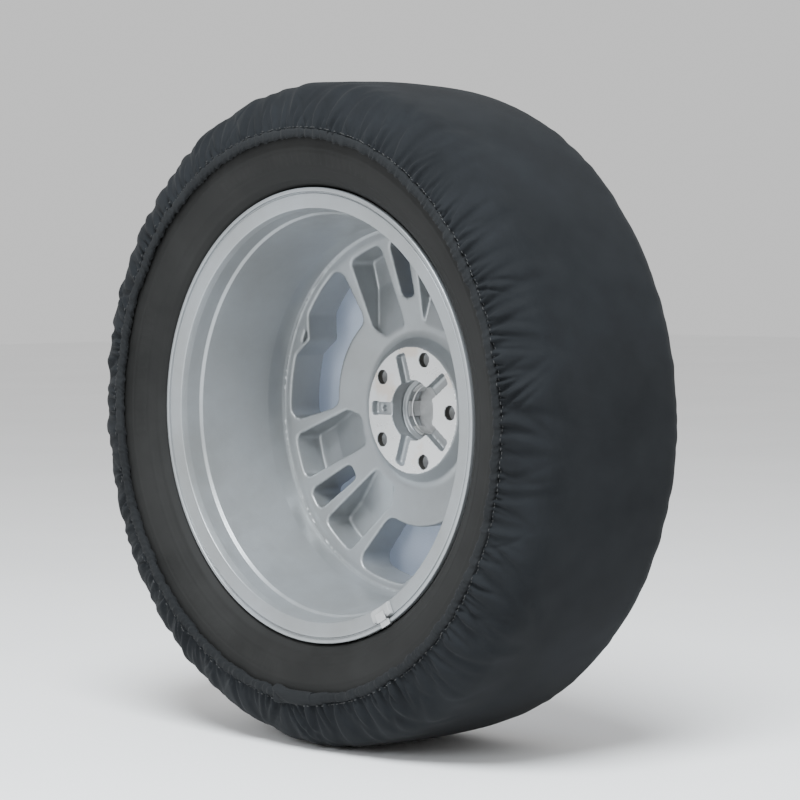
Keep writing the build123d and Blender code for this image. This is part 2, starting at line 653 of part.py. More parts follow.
def valve_parts():
    """The snap-in valve's pieces, in the valve's own frame."""
    groove_r = VALVE_HOLE_R - EASE
    head_r = VALVE_HOLE_R + VALVE_HEAD_W
    tube_r = VALVE_BORE_R + VALVE_TUBE_T
    rubber_r = tube_r + VALVE_RUBBER_T
    core_top = VALVE_TIP - 2.0
    core_low = core_top - CORE_L
    thread_low = VALVE_TIP - VALVE_THREAD_L
    body = spun(
        (tube_r + EASE, -VALVE_HEAD_H), (head_r - 1.1, -VALVE_HEAD_H),
        (head_r, 3.0 - VALVE_HEAD_H), (head_r, -EASE),
        (groove_r, -EASE), (groove_r, VALVE_WALL + EASE), (head_r, VALVE_WALL + EASE),
        (head_r, VALVE_WALL + 2.5), (rubber_r + 0.6, VALVE_WALL + 6.0),
        (rubber_r, thread_low - 1.0), (tube_r + EASE, thread_low - 1.0),
    )
    tube = spun(
        (VALVE_BORE_R, -9.0), (tube_r, -9.0), (tube_r, thread_low - 1.0 + EASE),
        (VALVE_THREAD_R, thread_low + EASE), (VALVE_THREAD_R, VALVE_TIP - 0.8),
        (VALVE_THREAD_R - 0.8, VALVE_TIP), (VALVE_BORE_R, VALVE_TIP),
    )
    room_r = VALVE_BORE_R - EASE - CORE_WALL
    collar_r = room_r - PIN_COLLAR_GAP
    spring_r = (PIN_R + room_r) / 2
    ledge = core_low + CORE_LEDGE
    collar = core_top - PIN_COLLAR_DOWN
    core = spun(
        (CORE_BORE_R, core_low), (VALVE_BORE_R - EASE, core_low), (VALVE_BORE_R - EASE, core_top),
        (room_r, core_top), (room_r, ledge), (CORE_BORE_R, ledge),
    )
    pin_low = core_low - CORE_SEAL_T - EASE - PIN_FOOT_T
    pin = Pos(0, 0, (pin_low + VALVE_TIP) / 2) * Cylinder(PIN_R, VALVE_TIP - pin_low)
    pin += Pos(0, 0, pin_low + PIN_FOOT_T / 2) * Cylinder(collar_r, PIN_FOOT_T)
    pin += Pos(0, 0, collar + PIN_FOOT_T / 2) * Cylinder(collar_r, PIN_FOOT_T)
    core_seal = Pos(0, 0, core_low - EASE / 2 - CORE_SEAL_T / 2) * (
        Cylinder(VALVE_BORE_R - 2 * EASE, CORE_SEAL_T - EASE) - Cylinder(PIN_R + EASE, CORE_SEAL_T)
    )
    height = collar - ledge - 2 * (SPRING_WIRE_R + EASE)
    path = Helix(pitch=height / SPRING_TURNS, height=height, radius=spring_r)
    start = Plane(origin=path @ 0, z_dir=path % 0)
    spring = sweep(start * Circle(SPRING_WIRE_R), path, is_frenet=True)
    spring = Pos(0, 0, ledge + SPRING_WIRE_R + EASE) * spring
    bore_r = VALVE_THREAD_R + CAP_GAP
    cap_r = bore_r + CAP_WALL
    inner_top = VALVE_TIP + CAP_SEAL_CLEAR + CAP_SEAL_T + EASE
    cap_top = inner_top + CAP_WALL_END
    cap_low = cap_top - CAP_L
    cap = spun(
        (bore_r, cap_low), (cap_r - 0.4, cap_low), (cap_r, cap_low + 0.5),
        (cap_r - 0.35, cap_top - 0.9), (cap_r - 1.2, cap_top), (0, cap_top), (0, inner_top),
        (bore_r, inner_top),
    )
    rib = Pos(cap_r, 0, (cap_low + inner_top) / 2) * Cylinder(KNURL_R, inner_top - cap_low - 1.4)
    for i in range(CAP_KNURLS):
        cap -= Rot(0, 0, i * 360.0 / CAP_KNURLS) * rib
    seal = Pos(0, 0, inner_top - EASE - CAP_SEAL_T / 2) * Cylinder(VALVE_THREAD_R, CAP_SEAL_T)
    return {
        "valve_body": body,
        "valve_tube": tube,
        "valve_core": core,
        "valve_pin": pin,
        "valve_core_seal": core_seal,
        "valve_spring": spring,
        "valve_cap": cap,
        "valve_cap_seal": seal,
    }


# ---------------------------------------------------------------- centre cap
def centre_cap():
    rim_r = CAP_SEAT_R - CAP_FACE_GAP
    disc = turned(make_face(Polyline(
        (0, CAP_SEAT_Y + CAP_SLIP), (rim_r, CAP_SEAT_Y + CAP_SLIP),
        (rim_r, CAP_SEAT_Y + CAP_FACE_T - 0.8), (rim_r - 2.0, CAP_SEAT_Y + CAP_FACE_T + 0.4),
        (0, CAP_SEAT_Y + CAP_FACE_T + CAP_FACE_CROWN), close=True,
    )))
    leg_out = CAP_BORE_R - CAP_SLIP
    tip_y = CAP_SEAT_Y - CAP_LEG_L
    tube = turned(make_face(Polyline(
        (leg_out - CAP_LEG_T, CAP_SEAT_Y + CAP_SLIP), (leg_out, CAP_SEAT_Y + CAP_SLIP),
        (leg_out, tip_y),
        (leg_out - CAP_LEG_T, tip_y), close=True,
    )))
    wedge = make_face(Polyline(
        (0, 0), polar(2 * CAP_BORE_R, -CAP_LEG_DEG / 2), polar(2 * CAP_BORE_R, CAP_LEG_DEG / 2),
        close=True,
    ))
    for i in range(CAP_LEG_COUNT):
        disc += tube & cut_through(wedge, i * 360.0 / CAP_LEG_COUNT)
    return disc


def centre_cap_ring():
    """The sprung wire ring that pushes the cap's legs outwards."""
    r = CAP_BORE_R - CAP_SLIP - CAP_LEG_T - CAP_RING_WIRE_R - EASE
    y = CAP_SEAT_Y - CAP_LEG_L + 4.0
    return turned(Pos(r, y) * Circle(CAP_RING_WIRE_R))


# ---------------------------------------------------------------- balance weight
def sector(section, angle, span):
    """A section turned through span degrees about the axis, centred on angle."""
    wedge = make_face(Polyline(
        (0, 0), polar(OUTSIDE, -span / 2), polar(OUTSIDE, span / 2), close=True,
    ))
    return turned(section) & cut_through(wedge, angle)


def band_y(r):
    """Distance of the lip's bright band from the middle plane, at radius r."""
    share = (LIP_BAND_OUT_R - r) / (LIP_BAND_OUT_R - LIP_BAND_IN_R)
    return LIP_HALF - LIP_GROOVE - LIP_BAND_FALL * share


def balance_weight():
    low, high = WEIGHT_IN_R, WEIGHT_OUT_R
    section = make_face(Polyline(
        at(low, -band_y(low) - EASE), at(high, -band_y(high) - EASE),
        at(high, -LIP_HALF - WEIGHT_T + 2.4), at(high - 3.0, -LIP_HALF - WEIGHT_T + 1.2),
        at(low + 3.0, -LIP_HALF - WEIGHT_T + 1.6), at(low, -LIP_HALF - WEIGHT_T + 4.4), close=True,
    ))
    return sector(section, WEIGHT_AT, WEIGHT_SPAN)


def weight_clip():
    """The sprung steel clip from the weight's face over the flange to its tyre side."""
    curl = at(FLANGE_R - FLANGE_CURL_R, -(HALF_RIM + FLANGE_CURL_R))
    inner_r = FLANGE_CURL_R + CLIP_GAP
    outer_r = inner_r + CLIP_T
    lip_y = -LIP_HALF - CLIP_GAP
    face_y = -LIP_HALF - WEIGHT_T + 1.0
    bend_r = FLANGE_R - LIP_EDGE_W - 1.0
    tail_r = WEIGHT_OUT_R - CLIP_TAIL
    section = joined(
        arc(curl, inner_r, 60.0, 0.0),
        Polyline(
            (curl[0] + inner_r, curl[1]), at(FLANGE_R + CLIP_GAP, lip_y), at(bend_r, lip_y),
            at(bend_r, face_y), at(tail_r, face_y), at(tail_r, face_y - CLIP_T),
            at(bend_r + CLIP_T, face_y - CLIP_T), at(bend_r + CLIP_T, lip_y - CLIP_T),
            at(FLANGE_R + CLIP_GAP + CLIP_T, lip_y - CLIP_T), (curl[0] + outer_r, curl[1]),
        ),
        arc(curl, outer_r, 0.0, 60.0),
    )
    return sector(section, WEIGHT_AT, CLIP_SPAN)


# ---------------------------------------------------------------- all pieces
def pieces():
    made = {
        "alloy_wheel": alloy_wheel(),
        "tyre": tyre(),
        "bead_core_inboard": bead_core(-1),
        "bead_core_outboard": bead_core(1),
        "steel_belt_outer": turned(belt_section(0)),
        "steel_belt_inner": turned(belt_section(1)),
        "centre_cap": centre_cap(),
        "centre_cap_ring": centre_cap_ring(),
        "balance_weight": balance_weight(),
        "balance_weight_clip": weight_clip(),
        "sock_tread_panel": tread_panel(),
        "sock_inboard_side": inboard_side_panel(),
        "sock_outboard_side": outboard_side_panel(),
        "sock_face_panel": face_panel(),
        "sock_inboard_elastic": inboard_elastic(),
        "sock_face_elastic": face_cord(),
    }
    plane = valve_plane()
    made.update({name: plane * piece for name, piece in valve_parts().items()})
    return made


os.makedirs("parts", exist_ok=True)
for node, shape in pieces().items():
    export_step(shape, f"parts/{node}.step")
    print(node, round(sum(s.volume for s in shape.solids())), "mm3")
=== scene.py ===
"""Looks for a car wheel, its tyre and the textile snow sock on it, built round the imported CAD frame.

Everything is in metres in the row frame: the wheel's axis is Y, +Y is outboard and +Z is up.
Round pieces are drawn as (radius, y) profiles and turned about the axis. Angles go from +X to +Z.
"""

from math import atan2, cos, pi, radians, sin, sqrt, tau

import bpy
import numpy as np
from mathutils import Matrix, Vector


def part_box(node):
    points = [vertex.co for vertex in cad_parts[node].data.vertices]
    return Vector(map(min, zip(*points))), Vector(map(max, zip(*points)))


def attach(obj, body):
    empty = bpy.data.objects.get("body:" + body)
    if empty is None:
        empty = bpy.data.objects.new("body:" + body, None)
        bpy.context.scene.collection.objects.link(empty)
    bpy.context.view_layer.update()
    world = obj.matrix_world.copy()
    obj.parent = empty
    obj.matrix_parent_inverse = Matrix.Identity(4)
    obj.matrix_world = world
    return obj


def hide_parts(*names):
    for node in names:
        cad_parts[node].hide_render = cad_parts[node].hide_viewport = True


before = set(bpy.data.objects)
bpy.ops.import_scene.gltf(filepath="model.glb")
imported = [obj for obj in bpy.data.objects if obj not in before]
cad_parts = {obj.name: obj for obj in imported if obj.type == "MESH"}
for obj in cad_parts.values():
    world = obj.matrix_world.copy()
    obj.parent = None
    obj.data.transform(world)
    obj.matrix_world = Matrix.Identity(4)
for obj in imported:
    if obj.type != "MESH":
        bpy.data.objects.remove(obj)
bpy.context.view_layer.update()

# ---- Places and sizes read from the frame ----
TYRE_LOW, TYRE_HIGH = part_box("tyre")
TYRE_R = TYRE_HIGH[2]
MID_Y = (TYRE_LOW[1] + TYRE_HIGH[1]) / 2
HALF_SECTION = (TYRE_HIGH[1] - TYRE_LOW[1]) / 2
WHEEL_LOW, WHEEL_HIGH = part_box("alloy_wheel")
FLANGE_R = WHEEL_HIGH[2]
LIP_HALF = (WHEEL_HIGH[1] - WHEEL_LOW[1]) / 2
SOCK_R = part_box("sock_tread_panel")[1][2]
SEAM_HALF = MID_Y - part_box("sock_tread_panel")[0][1]
HEM_LOW_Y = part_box("sock_inboard_side")[0][1]
FACE_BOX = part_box("sock_face_panel")
FACE_OUTER = FACE_BOX[1][2]

# ---- Sizes that the frame doesn't state ----
SEAT_R = FLANGE_R - 0.0175
HALF_RIM = LIP_HALF - 0.0125
DROP_R = SEAT_R - 0.0173
RING_R = DROP_R - 0.015
RING_BACK_Y, RING_FRONT_Y = -0.008, 0.036
BULGE_R = TYRE_R - 0.058
SIDE_ARC_R = 0.070
SHOULDER_ARC_R = 0.030
CROWN_DROP, CROWN_HALF = 0.0055, 0.080
SOCK_STAND = SOCK_R - TYRE_R  # the sock's outside above the tyre
HEM_MIDDLE_R = BULGE_R + 0.0035
HEM_HALF_R, HEM_HALF_Y = 0.0058, 0.0042
FACE_OPENING_R = 0.116
PAIR_PHASE = 215.0
CLOTH_COLUMNS = 1440
JOIN_ANGLE = 272.0  # where the hem's ends overlap, in degrees
CLOTH_T = 0.0008
DISC_VOXEL = 0.0014
DISC_TRIANGLES = 190000  # the most that the remeshed disc keeps
PAD_R = 0.0680  # the machined pad's outside radius
STUDS, STUD_CIRCLE_R, STUD_R = 5, 0.05715, 0.0075


# ---------------------------------------------------------------- meshes
def add_mesh(name, points, faces, uv=None):
    """A smooth object from an array of points and an array of faces, all with 3 or all with 4 corners."""
    points = np.ascontiguousarray(points, dtype=np.float32).reshape(-1, 3)
    faces = np.ascontiguousarray(faces, dtype=np.int32)
    count, corners = faces.shape
    mesh = bpy.data.meshes.new(name)
    mesh.vertices.add(len(points))
    mesh.vertices.foreach_set("co", points.ravel())
    mesh.loops.add(count * corners)
    mesh.loops.foreach_set("vertex_index", faces.ravel())
    mesh.polygons.add(count)
    mesh.polygons.foreach_set("loop_start", np.arange(0, count * corners, corners, dtype=np.int32))
    mesh.polygons.foreach_set("use_smooth", np.ones(count, dtype=bool))
    if uv is not None:
        layer = mesh.uv_layers.new(name="metres")
        layer.data.foreach_set("uv", np.ascontiguousarray(uv, dtype=np.float32).ravel())
    mesh.update(calc_edges=True)
    mesh.validate()
    obj = bpy.data.objects.new(name, mesh)
    bpy.context.collection.objects.link(obj)
    return obj


def grid_faces(rows, columns, flip=False):
    """Faces of a grid whose rows and columns both wrap round."""
    r = np.arange(rows)
    c = np.arange(columns)
    rr, cc = np.meshgrid(r, c, indexing="ij")
    up, along = (rr + 1) % rows, (cc + 1) % columns
    quads = np.stack([rr * columns + cc, rr * columns + along, up * columns + along, up * columns + cc], -1)
    quads = quads.reshape(-1, 4)
    return quads[:, ::-1] if flip else quads


def grid_uv(rows, columns, length, around, flip=False):
    """UVs in metres for grid_faces: u round the wheel, v along the profile."""
    r = np.arange(rows)
    c = np.arange(columns)
    rr, cc = np.meshgrid(r, c, indexing="ij")
    u, v = around / columns, length / rows
    corners = [(cc, rr), (cc + 1, rr), (cc + 1, rr + 1), (cc, rr + 1)]
    uv = np.stack([np.stack([a * u, b * v], -1) for a, b in corners], 2).reshape(-1, 4, 2)
    return uv[:, ::-1] if flip else uv


def on_wheel(radius, y, angle):
    """Points in the row frame from arrays of radius, y and angle."""
    radius, y, angle = np.broadcast_arrays(radius, y, angle)
    return np.stack([radius * np.cos(angle), y, radius * np.sin(angle)], -1)


def turned(name, profile, columns):
    """A round piece from a closed profile of (radius, y) points, walked with its outside on the left."""
    profile = np.asarray(profile)
    rows = len(profile)
    angle = np.arange(columns) / columns * tau
    points = on_wheel(profile[:, :1], profile[:, 1:], angle[None, :])
    steps = np.linalg.norm(np.diff(profile, axis=0), axis=1).sum()
    around = tau * profile[:, 0].mean()
    faces = grid_faces(rows, columns, flip=True)
    uv = grid_uv(rows, columns, steps, around, flip=True)
    return add_mesh(name, points, faces, uv)


def arc_points(centre, radius, start, end, count):
    """Points on an arc in the profile plane, from the angle start to the angle end, in degrees."""
    a = np.radians(np.linspace(start, end, count))
    return np.stack([centre[0] + radius * np.cos(a), centre[1] + radius * np.sin(a)], -1)


def rounded(corners, steps=5):
    """A closed profile from corners (radius, y, fillet), each rounded by its own fillet."""
    out = []
    n = len(corners)
    for i, corner in enumerate(corners):
        p = np.array(corner[:2])
        fillet = corner[2]
        a, b = np.array(corners[i - 1][:2]), np.array(corners[(i + 1) % n][:2])
        to_a, to_b = a - p, b - p
        la, lb = np.linalg.norm(to_a), np.linalg.norm(to_b)
        to_a, to_b = to_a / la, to_b / lb
        half = np.arccos(np.clip(np.dot(to_a, to_b), -1, 1)) / 2
        reach = min(fillet / max(np.tan(half), 1e-6), 0.45 * la, 0.45 * lb)
        if reach < 1e-5:
            out.append(p)
            continue
        start, end = p + to_a * reach, p + to_b * reach
        for t in np.linspace(0, 1, steps):
            out.append((1 - t) ** 2 * start + 2 * t * (1 - t) * p + t**2 * end)
    return np.array(out)


def refined(profile, step):
    """The same closed profile with no stretch longer than step."""
    profile = np.asarray(profile)
    out = []
    for p, q in zip(profile, np.roll(profile, -1, axis=0)):
        pieces = max(1, int(np.ceil(np.linalg.norm(q - p) / step)))
        out.extend(p + (q - p) * k / pieces for k in range(pieces))
    return np.array(out)


# ---------------------------------------------------------------- materials
class Nodes:
    """A short way to write a node material."""

    def __init__(self, name, **socket_values):
        self.material = bpy.data.materials.new(name)
        self.material.use_nodes = True
        self.tree = self.material.node_tree
        self.shader = self.tree.nodes["Principled BSDF"]
        for socket, value in socket_values.items():
            self.shader.inputs[socket.replace("_", " ")].default_value = value

    def add(self, kind, inputs=None, **settings):
        node = self.tree.nodes.new("ShaderNode" + kind)
        for key, value in settings.items():
            setattr(node, key, value)
        for key, value in (inputs or {}).items():
            self.put(node, key, value)
        return node

    def put(self, node, key, value):
        socket = node.inputs[key]
        if hasattr(value, "is_output"):
            self.tree.links.new(value, socket)
        else:
            socket.default_value = value

    def coordinates(self, kind="Object"):
        return self.add("TexCoord").outputs[kind]

    def noise(self, vector, scale, detail=3.0, rough=0.5, stretch=None):
        if stretch is not None:
            vector = self.add("Mapping", {"Vector": vector, "Scale": stretch}).outputs["Vector"]
        inputs = {"Vector": vector, "Scale": scale, "Detail": detail, "Roughness": rough}
        return self.add("TexNoise", inputs).outputs["Fac"]

    def wave(self, vector, scale, direction):
        node = self.add(
            "TexWave", {"Vector": vector, "Scale": scale},
            wave_type="BANDS", bands_direction=direction, wave_profile="SIN",
        )
        return node.outputs["Fac"]

    def maths(self, operation, a, b=0.0):
        return self.add("Math", {0: a, 1: b}, operation=operation).outputs[0]

    def spread(self, value, low, high, from_low=0.0, from_high=1.0):
        node = self.add("MapRange", {
            "Value": value, "From Min": from_low, "From Max": from_high, "To Min": low, "To Max": high,
        })
        return node.outputs[0]

    def colours(self, value, *stops):
        ramp = self.add("ValToRGB", {"Fac": value})
        elements = ramp.color_ramp.elements
        while len(elements) < len(stops):
            elements.new(0.5)
        for element, (place, colour) in zip(elements, stops):
            element.position = place
            element.color = (*colour, 1.0)
        return ramp.outputs["Color"]

    def finish(self, colour=None, roughness=None, height=None, strength=0.3, distance=0.001):
        if colour is not None:
            self.put(self.shader, "Base Color", colour)
        if roughness is not None:
            self.put(self.shader, "Roughness", roughness)
        if height is not None:
            bump = self.add("Bump", {"Height": height, "Strength": strength, "Distance": distance})
            self.put(self.shader, "Normal", bump.outputs["Normal"])
        return self.material


def shade(value, tint=(1.0, 1.0, 1.0)):
    return tuple(value * t for t in tint)


def fabric(name, dark, light, pitch, sheen):
    """Plain-woven cloth: warp and weft threads from the piece's UVs, in metres, with uneven dye."""
    n = Nodes(name, Sheen_Weight=sheen, Sheen_Roughness=0.45, Specular_IOR_Level=0.10)
    uv = n.coordinates("UV")
    place = n.coordinates()
    # A Wave texture at scale 1 repeats every tau / 20 units, so this gives one thread per pitch.
    per_metre = tau / 20.0 / pitch
    warp = n.wave(uv, per_metre, "X")
    weft = n.wave(uv, per_metre, "Y")
    threads = n.maths("MULTIPLY", warp, weft)
    slubs = n.noise(uv, 900.0, 2.0, 0.6, (1.0, 0.12, 1.0))
    cloudy = n.noise(place, 14.0, 4.0, 0.6)
    fine = n.noise(place, 420.0, 3.0, 0.7)
    mixed = n.maths("ADD", n.maths("MULTIPLY", cloudy, 0.6), n.maths("MULTIPLY", fine, 0.25))
    mixed = n.maths("ADD", mixed, n.maths("MULTIPLY", threads, 0.18))
    colour = n.colours(mixed, (0.25, dark), (0.85, light))
    height = n.maths("ADD", threads, n.maths("MULTIPLY", slubs, 0.5))
    rough = n.spread(fine, 0.78, 0.95)
    return n.finish(colour, rough, height, 0.28, 0.0003)


def let_through(material, share, colour):
    """Lets part of the light through thin cloth."""
    nodes, links = material.node_tree.nodes, material.node_tree.links
    glow = nodes.new("ShaderNodeBsdfTranslucent")
    glow.inputs["Color"].default_value = (*colour, 1.0)
    mix = nodes.new("ShaderNodeMixShader")
    mix.inputs[0].default_value = share
    links.new(nodes["Principled BSDF"].outputs["BSDF"], mix.inputs[1])
    links.new(glow.outputs["BSDF"], mix.inputs[2])
    links.new(mix.outputs["Shader"], nodes["Material Output"].inputs["Surface"])


def cast_lacquer(name, base, roughness, metallic=0.55, grain=0.35):
    """Silver lacquer over a sand casting: fine pimples, slow waves, and thin dust in the low places."""
    n = Nodes(name, Metallic=metallic, Coat_Weight=0.25, Coat_Roughness=0.25)
    place = n.coordinates()
    pimples = n.noise(place, 650.0, 4.0, 0.65)
    waves = n.noise(place, 60.0, 3.0, 0.55)
    dust = n.noise(place, 9.0, 5.0, 0.62)
    low, high = shade(0.84 * base, (0.97, 1.0, 1.0)), shade(1.06 * base, (0.95, 1.0, 1.05))
    colour = n.colours(dust, (0.3, low), (0.7, high))
    uneven = n.maths("ADD", waves, n.maths("MULTIPLY", dust, 0.6))
    rough = n.spread(uneven, roughness - 0.07, roughness + 0.1, 0.4, 1.2)
    height = n.maths("ADD", pimples, n.maths("MULTIPLY", waves, 1.6))
    return n.finish(colour, rough, height, grain, 0.00035)


def machined(name, base, roughness):
    """Turned aluminium: rings round the wheel's axis, with a few rust-brown handling marks."""
    n = Nodes(name, Metallic=0.75)
    place = n.coordinates()
    parts = n.add("SeparateXYZ", {"Vector": place})
    x2 = n.maths("MULTIPLY", parts.outputs["X"], parts.outputs["X"])
    z2 = n.maths("MULTIPLY", parts.outputs["Z"], parts.outputs["Z"])
    radius = n.maths("SQRT", n.maths("ADD", x2, z2))
    rings = n.maths("SINE", n.maths("MULTIPLY", radius, tau / 0.0009))
    wander = n.noise(place, 40.0, 4.0, 0.6)
    stains = n.noise(place, 22.0, 3.0, 0.5)
    marked = shade(base, (0.94, 0.86, 0.78))
    colour = n.colours(stains, (0.38, marked), (0.47, shade(base)), (0.9, shade(base * 1.05)))
    rough = n.spread(wander, roughness - 0.06, roughness + 0.1, 0.3, 0.7)
    height = n.maths("ADD", rings, n.maths("MULTIPLY", wander, 2.0))
    return n.finish(colour, rough, height, 0.12, 0.0001)


def tyre_rubber(name, base):
    """Rubber with a fine grain and a faint, uneven bloom."""
    n = Nodes(name, Specular_IOR_Level=0.14)
    place = n.coordinates()
    grain = n.noise(place, 800.0, 3.0, 0.6)
    bloom = n.noise(place, 11.0, 5.0, 0.6)
    clean, bloomed = shade(base, (1.0, 1.0, 0.96)), shade(base * 1.9, (1.0, 0.99, 0.96))
    colour = n.colours(bloom, (0.3, clean), (0.75, bloomed))
    rough = n.spread(n.maths("ADD", bloom, n.maths("MULTIPLY", grain, 0.3)), 0.55, 0.78, 0.4, 1.0)
    return n.finish(colour, rough, grain, 0.18, 0.0003)


def plain(name, base, roughness, metallic=0.0, grain=500.0, strength=0.1, tint=(1.0, 1.0, 1.0)):
    """Moulded plastic, soft rubber or bright metal, with a fine grain and uneven gloss."""
    n = Nodes(name, Metallic=metallic)
    place = n.coordinates()
    fine = n.noise(place, grain, 3.0, 0.6)
    slow = n.noise(place, 90.0, 3.0, 0.5)
    colour = n.colours(slow, (0.3, shade(0.85 * base, tint)), (0.7, shade(1.1 * base, tint)))
    rough = n.spread(slow, roughness - 0.06, roughness + 0.08, 0.3, 0.7)
    return n.finish(colour, rough, fine, strength, 0.0002)


def dress(obj, material, body, slot, *nodes):
    """Gives a new piece its material and its body, and hides the CAD nodes that it stands for. slot is not
    used.
    """
    obj.data.materials.clear()
    obj.data.materials.append(material)
    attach(obj, body)
    if nodes:
        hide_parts(*nodes)
    return obj


# ---------------------------------------------------------------- wheel
def rim_corners():
    """The rim's section and the outer part of the ring, as corners with fillets, walked clockwise."""
    lip, band_in = LIP_HALF, SEAT_R - 0.0038
    inner = DROP_R - 0.0045
    cut = RING_R + 0.0085  # the disc is a piece of its own from here in

    def at(radius, y, fillet):
        return (radius, MID_Y + y, fillet)

    inboard_lip = [
        at(SEAT_R - 0.0103, 0.0288 - lip, 0.002), at(SEAT_R - 0.0076, 0.0262 - lip, 0.002),
        at(SEAT_R - 0.0058, 0.0105 - lip, 0.004), at(band_in, 0.0036 - lip, 0.0012),
        at(FLANGE_R - 0.0066, 0.0019 - lip, 0.0008), at(FLANGE_R - 0.0058, 0.0034 - lip, 0.0007),
        at(FLANGE_R - 0.0046, 0.0034 - lip, 0.0007), at(FLANGE_R - 0.0040, 0.0002 - lip, 0.0010),
        at(FLANGE_R - 0.0001, 0.0004 - lip, 0.0016), at(FLANGE_R, 0.0060 - lip, 0.002),
    ]
    curl_in = at(FLANGE_R - 0.008, -HALF_RIM, 0.004)
    seat_in = [
        at(SEAT_R, -HALF_RIM, 0.003), at(SEAT_R - 0.0017, 0.018 - HALF_RIM, 0.001),
        at(SEAT_R - 0.0005, 0.0215 - HALF_RIM, 0.002), at(SEAT_R - 0.0017, 0.025 - HALF_RIM, 0.003),
        at(SEAT_R - 0.0068, 0.031 - HALF_RIM, 0.006), at(DROP_R + 0.001, 0.014, 0.006),
        at(DROP_R, 0.020, 0.006), at(DROP_R, 0.050, 0.002), at(DROP_R + 0.014, 0.056, 0.002),
    ]
    seat_out = [
        at(SEAT_R - 0.0017, HALF_RIM - 0.025, 0.002), at(SEAT_R - 0.0005, HALF_RIM - 0.0215, 0.002),
        at(SEAT_R - 0.0017, HALF_RIM - 0.018, 0.001), at(SEAT_R, HALF_RIM, 0.003),
    ]
    curl_out = at(FLANGE_R - 0.008, HALF_RIM, 0.004)
    outboard_lip = [
        at(FLANGE_R, lip - 0.0060, 0.002), at(FLANGE_R - 0.0001, lip - 0.0004, 0.0016),
        at(FLANGE_R - 0.0040, lip - 0.0002, 0.0010), at(FLANGE_R - 0.0066, lip - 0.0019, 0.0012),
        at(band_in, lip - 0.0036, 0.002), at(DROP_R + 0.006, RING_FRONT_Y - MID_Y + 0.004, 0.003),
        at(DROP_R + 0.002, RING_FRONT_Y - MID_Y - 0.0001, 0.003), at(cut, RING_FRONT_Y - MID_Y - 0.0001, 0),
    ]
    inside = [
        at(cut, RING_BACK_Y - MID_Y + 0.0001, 0), at(inner - 0.002, RING_BACK_Y - MID_Y + 0.0001, 0.002),
        at(inner, RING_BACK_Y - MID_Y - 0.004, 0.004), at(inner, 0.018, 0.02),
    ]
    return inboard_lip + [curl_in] + seat_in + seat_out + [curl_out] + outboard_lip + inside


def wheel_rim():
    """The rim, turned from its section."""
    profile = refined(rounded(rim_corners()), 0.006)
    return turned("wheel_rim", profile, 384)


def neighbour_mean(points, edges, degree):
    """The mean of each point's neighbours along the mesh's edges."""
    total = np.zeros_like(points)
    for axis in range(3):
        total[:, axis] = np.bincount(edges[:, 0], points[edges[:, 1], axis], len(points))
        total[:, axis] += np.bincount(edges[:, 1], points[edges[:, 0], axis], len(points))
    return total / degree[:, None]


def wheel_disc():
    """The disc as a casting: the CAD solid inside the ring, remeshed finely, and its edges eased.

    The hub pad is turned flat again after the easing, as it is machined after casting."""
    limit = RING_R + 0.010
    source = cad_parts["alloy_wheel"]
    piece = bpy.data.objects.new("wheel_disc", source.data.copy())
    bpy.context.collection.objects.link(piece)
    bpy.ops.mesh.primitive_cylinder_add(
        vertices=256, radius=limit, depth=0.12, location=(0, 0.02, 0), rotation=(pi / 2, 0, 0)
    )
    cutter = bpy.context.object
    weld = piece.modifiers.new("weld", "WELD")
    weld.merge_threshold = 1e-5
    keep = piece.modifiers.new("keep", "BOOLEAN")
    keep.operation = "INTERSECT"
    keep.solver = "EXACT"
    keep.object = cutter
    remesh = piece.modifiers.new("remesh", "REMESH")
    remesh.mode = "VOXEL"
    remesh.voxel_size = DISC_VOXEL
    shape = bpy.data.meshes.new_from_object(piece.evaluated_get(bpy.context.evaluated_depsgraph_get()))
    bpy.data.objects.remove(cutter, do_unlink=True)
    piece.modifiers.clear()
    piece.data = shape
    count = len(shape.vertices)
    points = np.empty(count * 3, dtype=np.float32)
    shape.vertices.foreach_get("co", points)
    points = points.reshape(-1, 3).astype(np.float64)
    edges = np.empty(len(shape.edges) * 2, dtype=np.int32)
    shape.edges.foreach_get("vertices", edges)
    edges = edges.reshape(-1, 2)
    degree = np.bincount(edges.ravel(), minlength=count).astype(float)
    start = points.copy()
    radius = np.hypot(start[:, 0], start[:, 2])
    hub = np.clip((0.0805 - radius) / 0.003, 0, 1) * np.clip((0.013 - start[:, 1]) / 0.002, 0, 1)
    edge = np.clip((radius - (limit - 0.004)) / 0.002, 0, 1)
    free = (1 - 0.75 * hub) * (1 - edge)
    for _ in range(9):
        points += 0.62 * free[:, None] * (neighbour_mean(points, edges, degree) - points)
        points -= 0.30 * free[:, None] * (neighbour_mean(points, edges, degree) - points)
    flat = (np.abs(start[:, 1]) < 0.4 * DISC_VOXEL) & (radius < 0.0675)
    points[flat, 1] = 0.0
    shape.vertices.foreach_set("co", points.astype(np.float32).ravel())
    shape.polygons.foreach_set("use_smooth", np.ones(len(shape.polygons), dtype=bool))
    shape.update()
    thin = piece.modifiers.new("thin", "DECIMATE")
    thin.ratio = min(1.0, DISC_TRIANGLES / max(1, 2 * len(shape.polygons)))
    final = bpy.data.meshes.new_from_object(piece.evaluated_get(bpy.context.evaluated_depsgraph_get()))
    piece.modifiers.clear()
    piece.data = final
    return piece


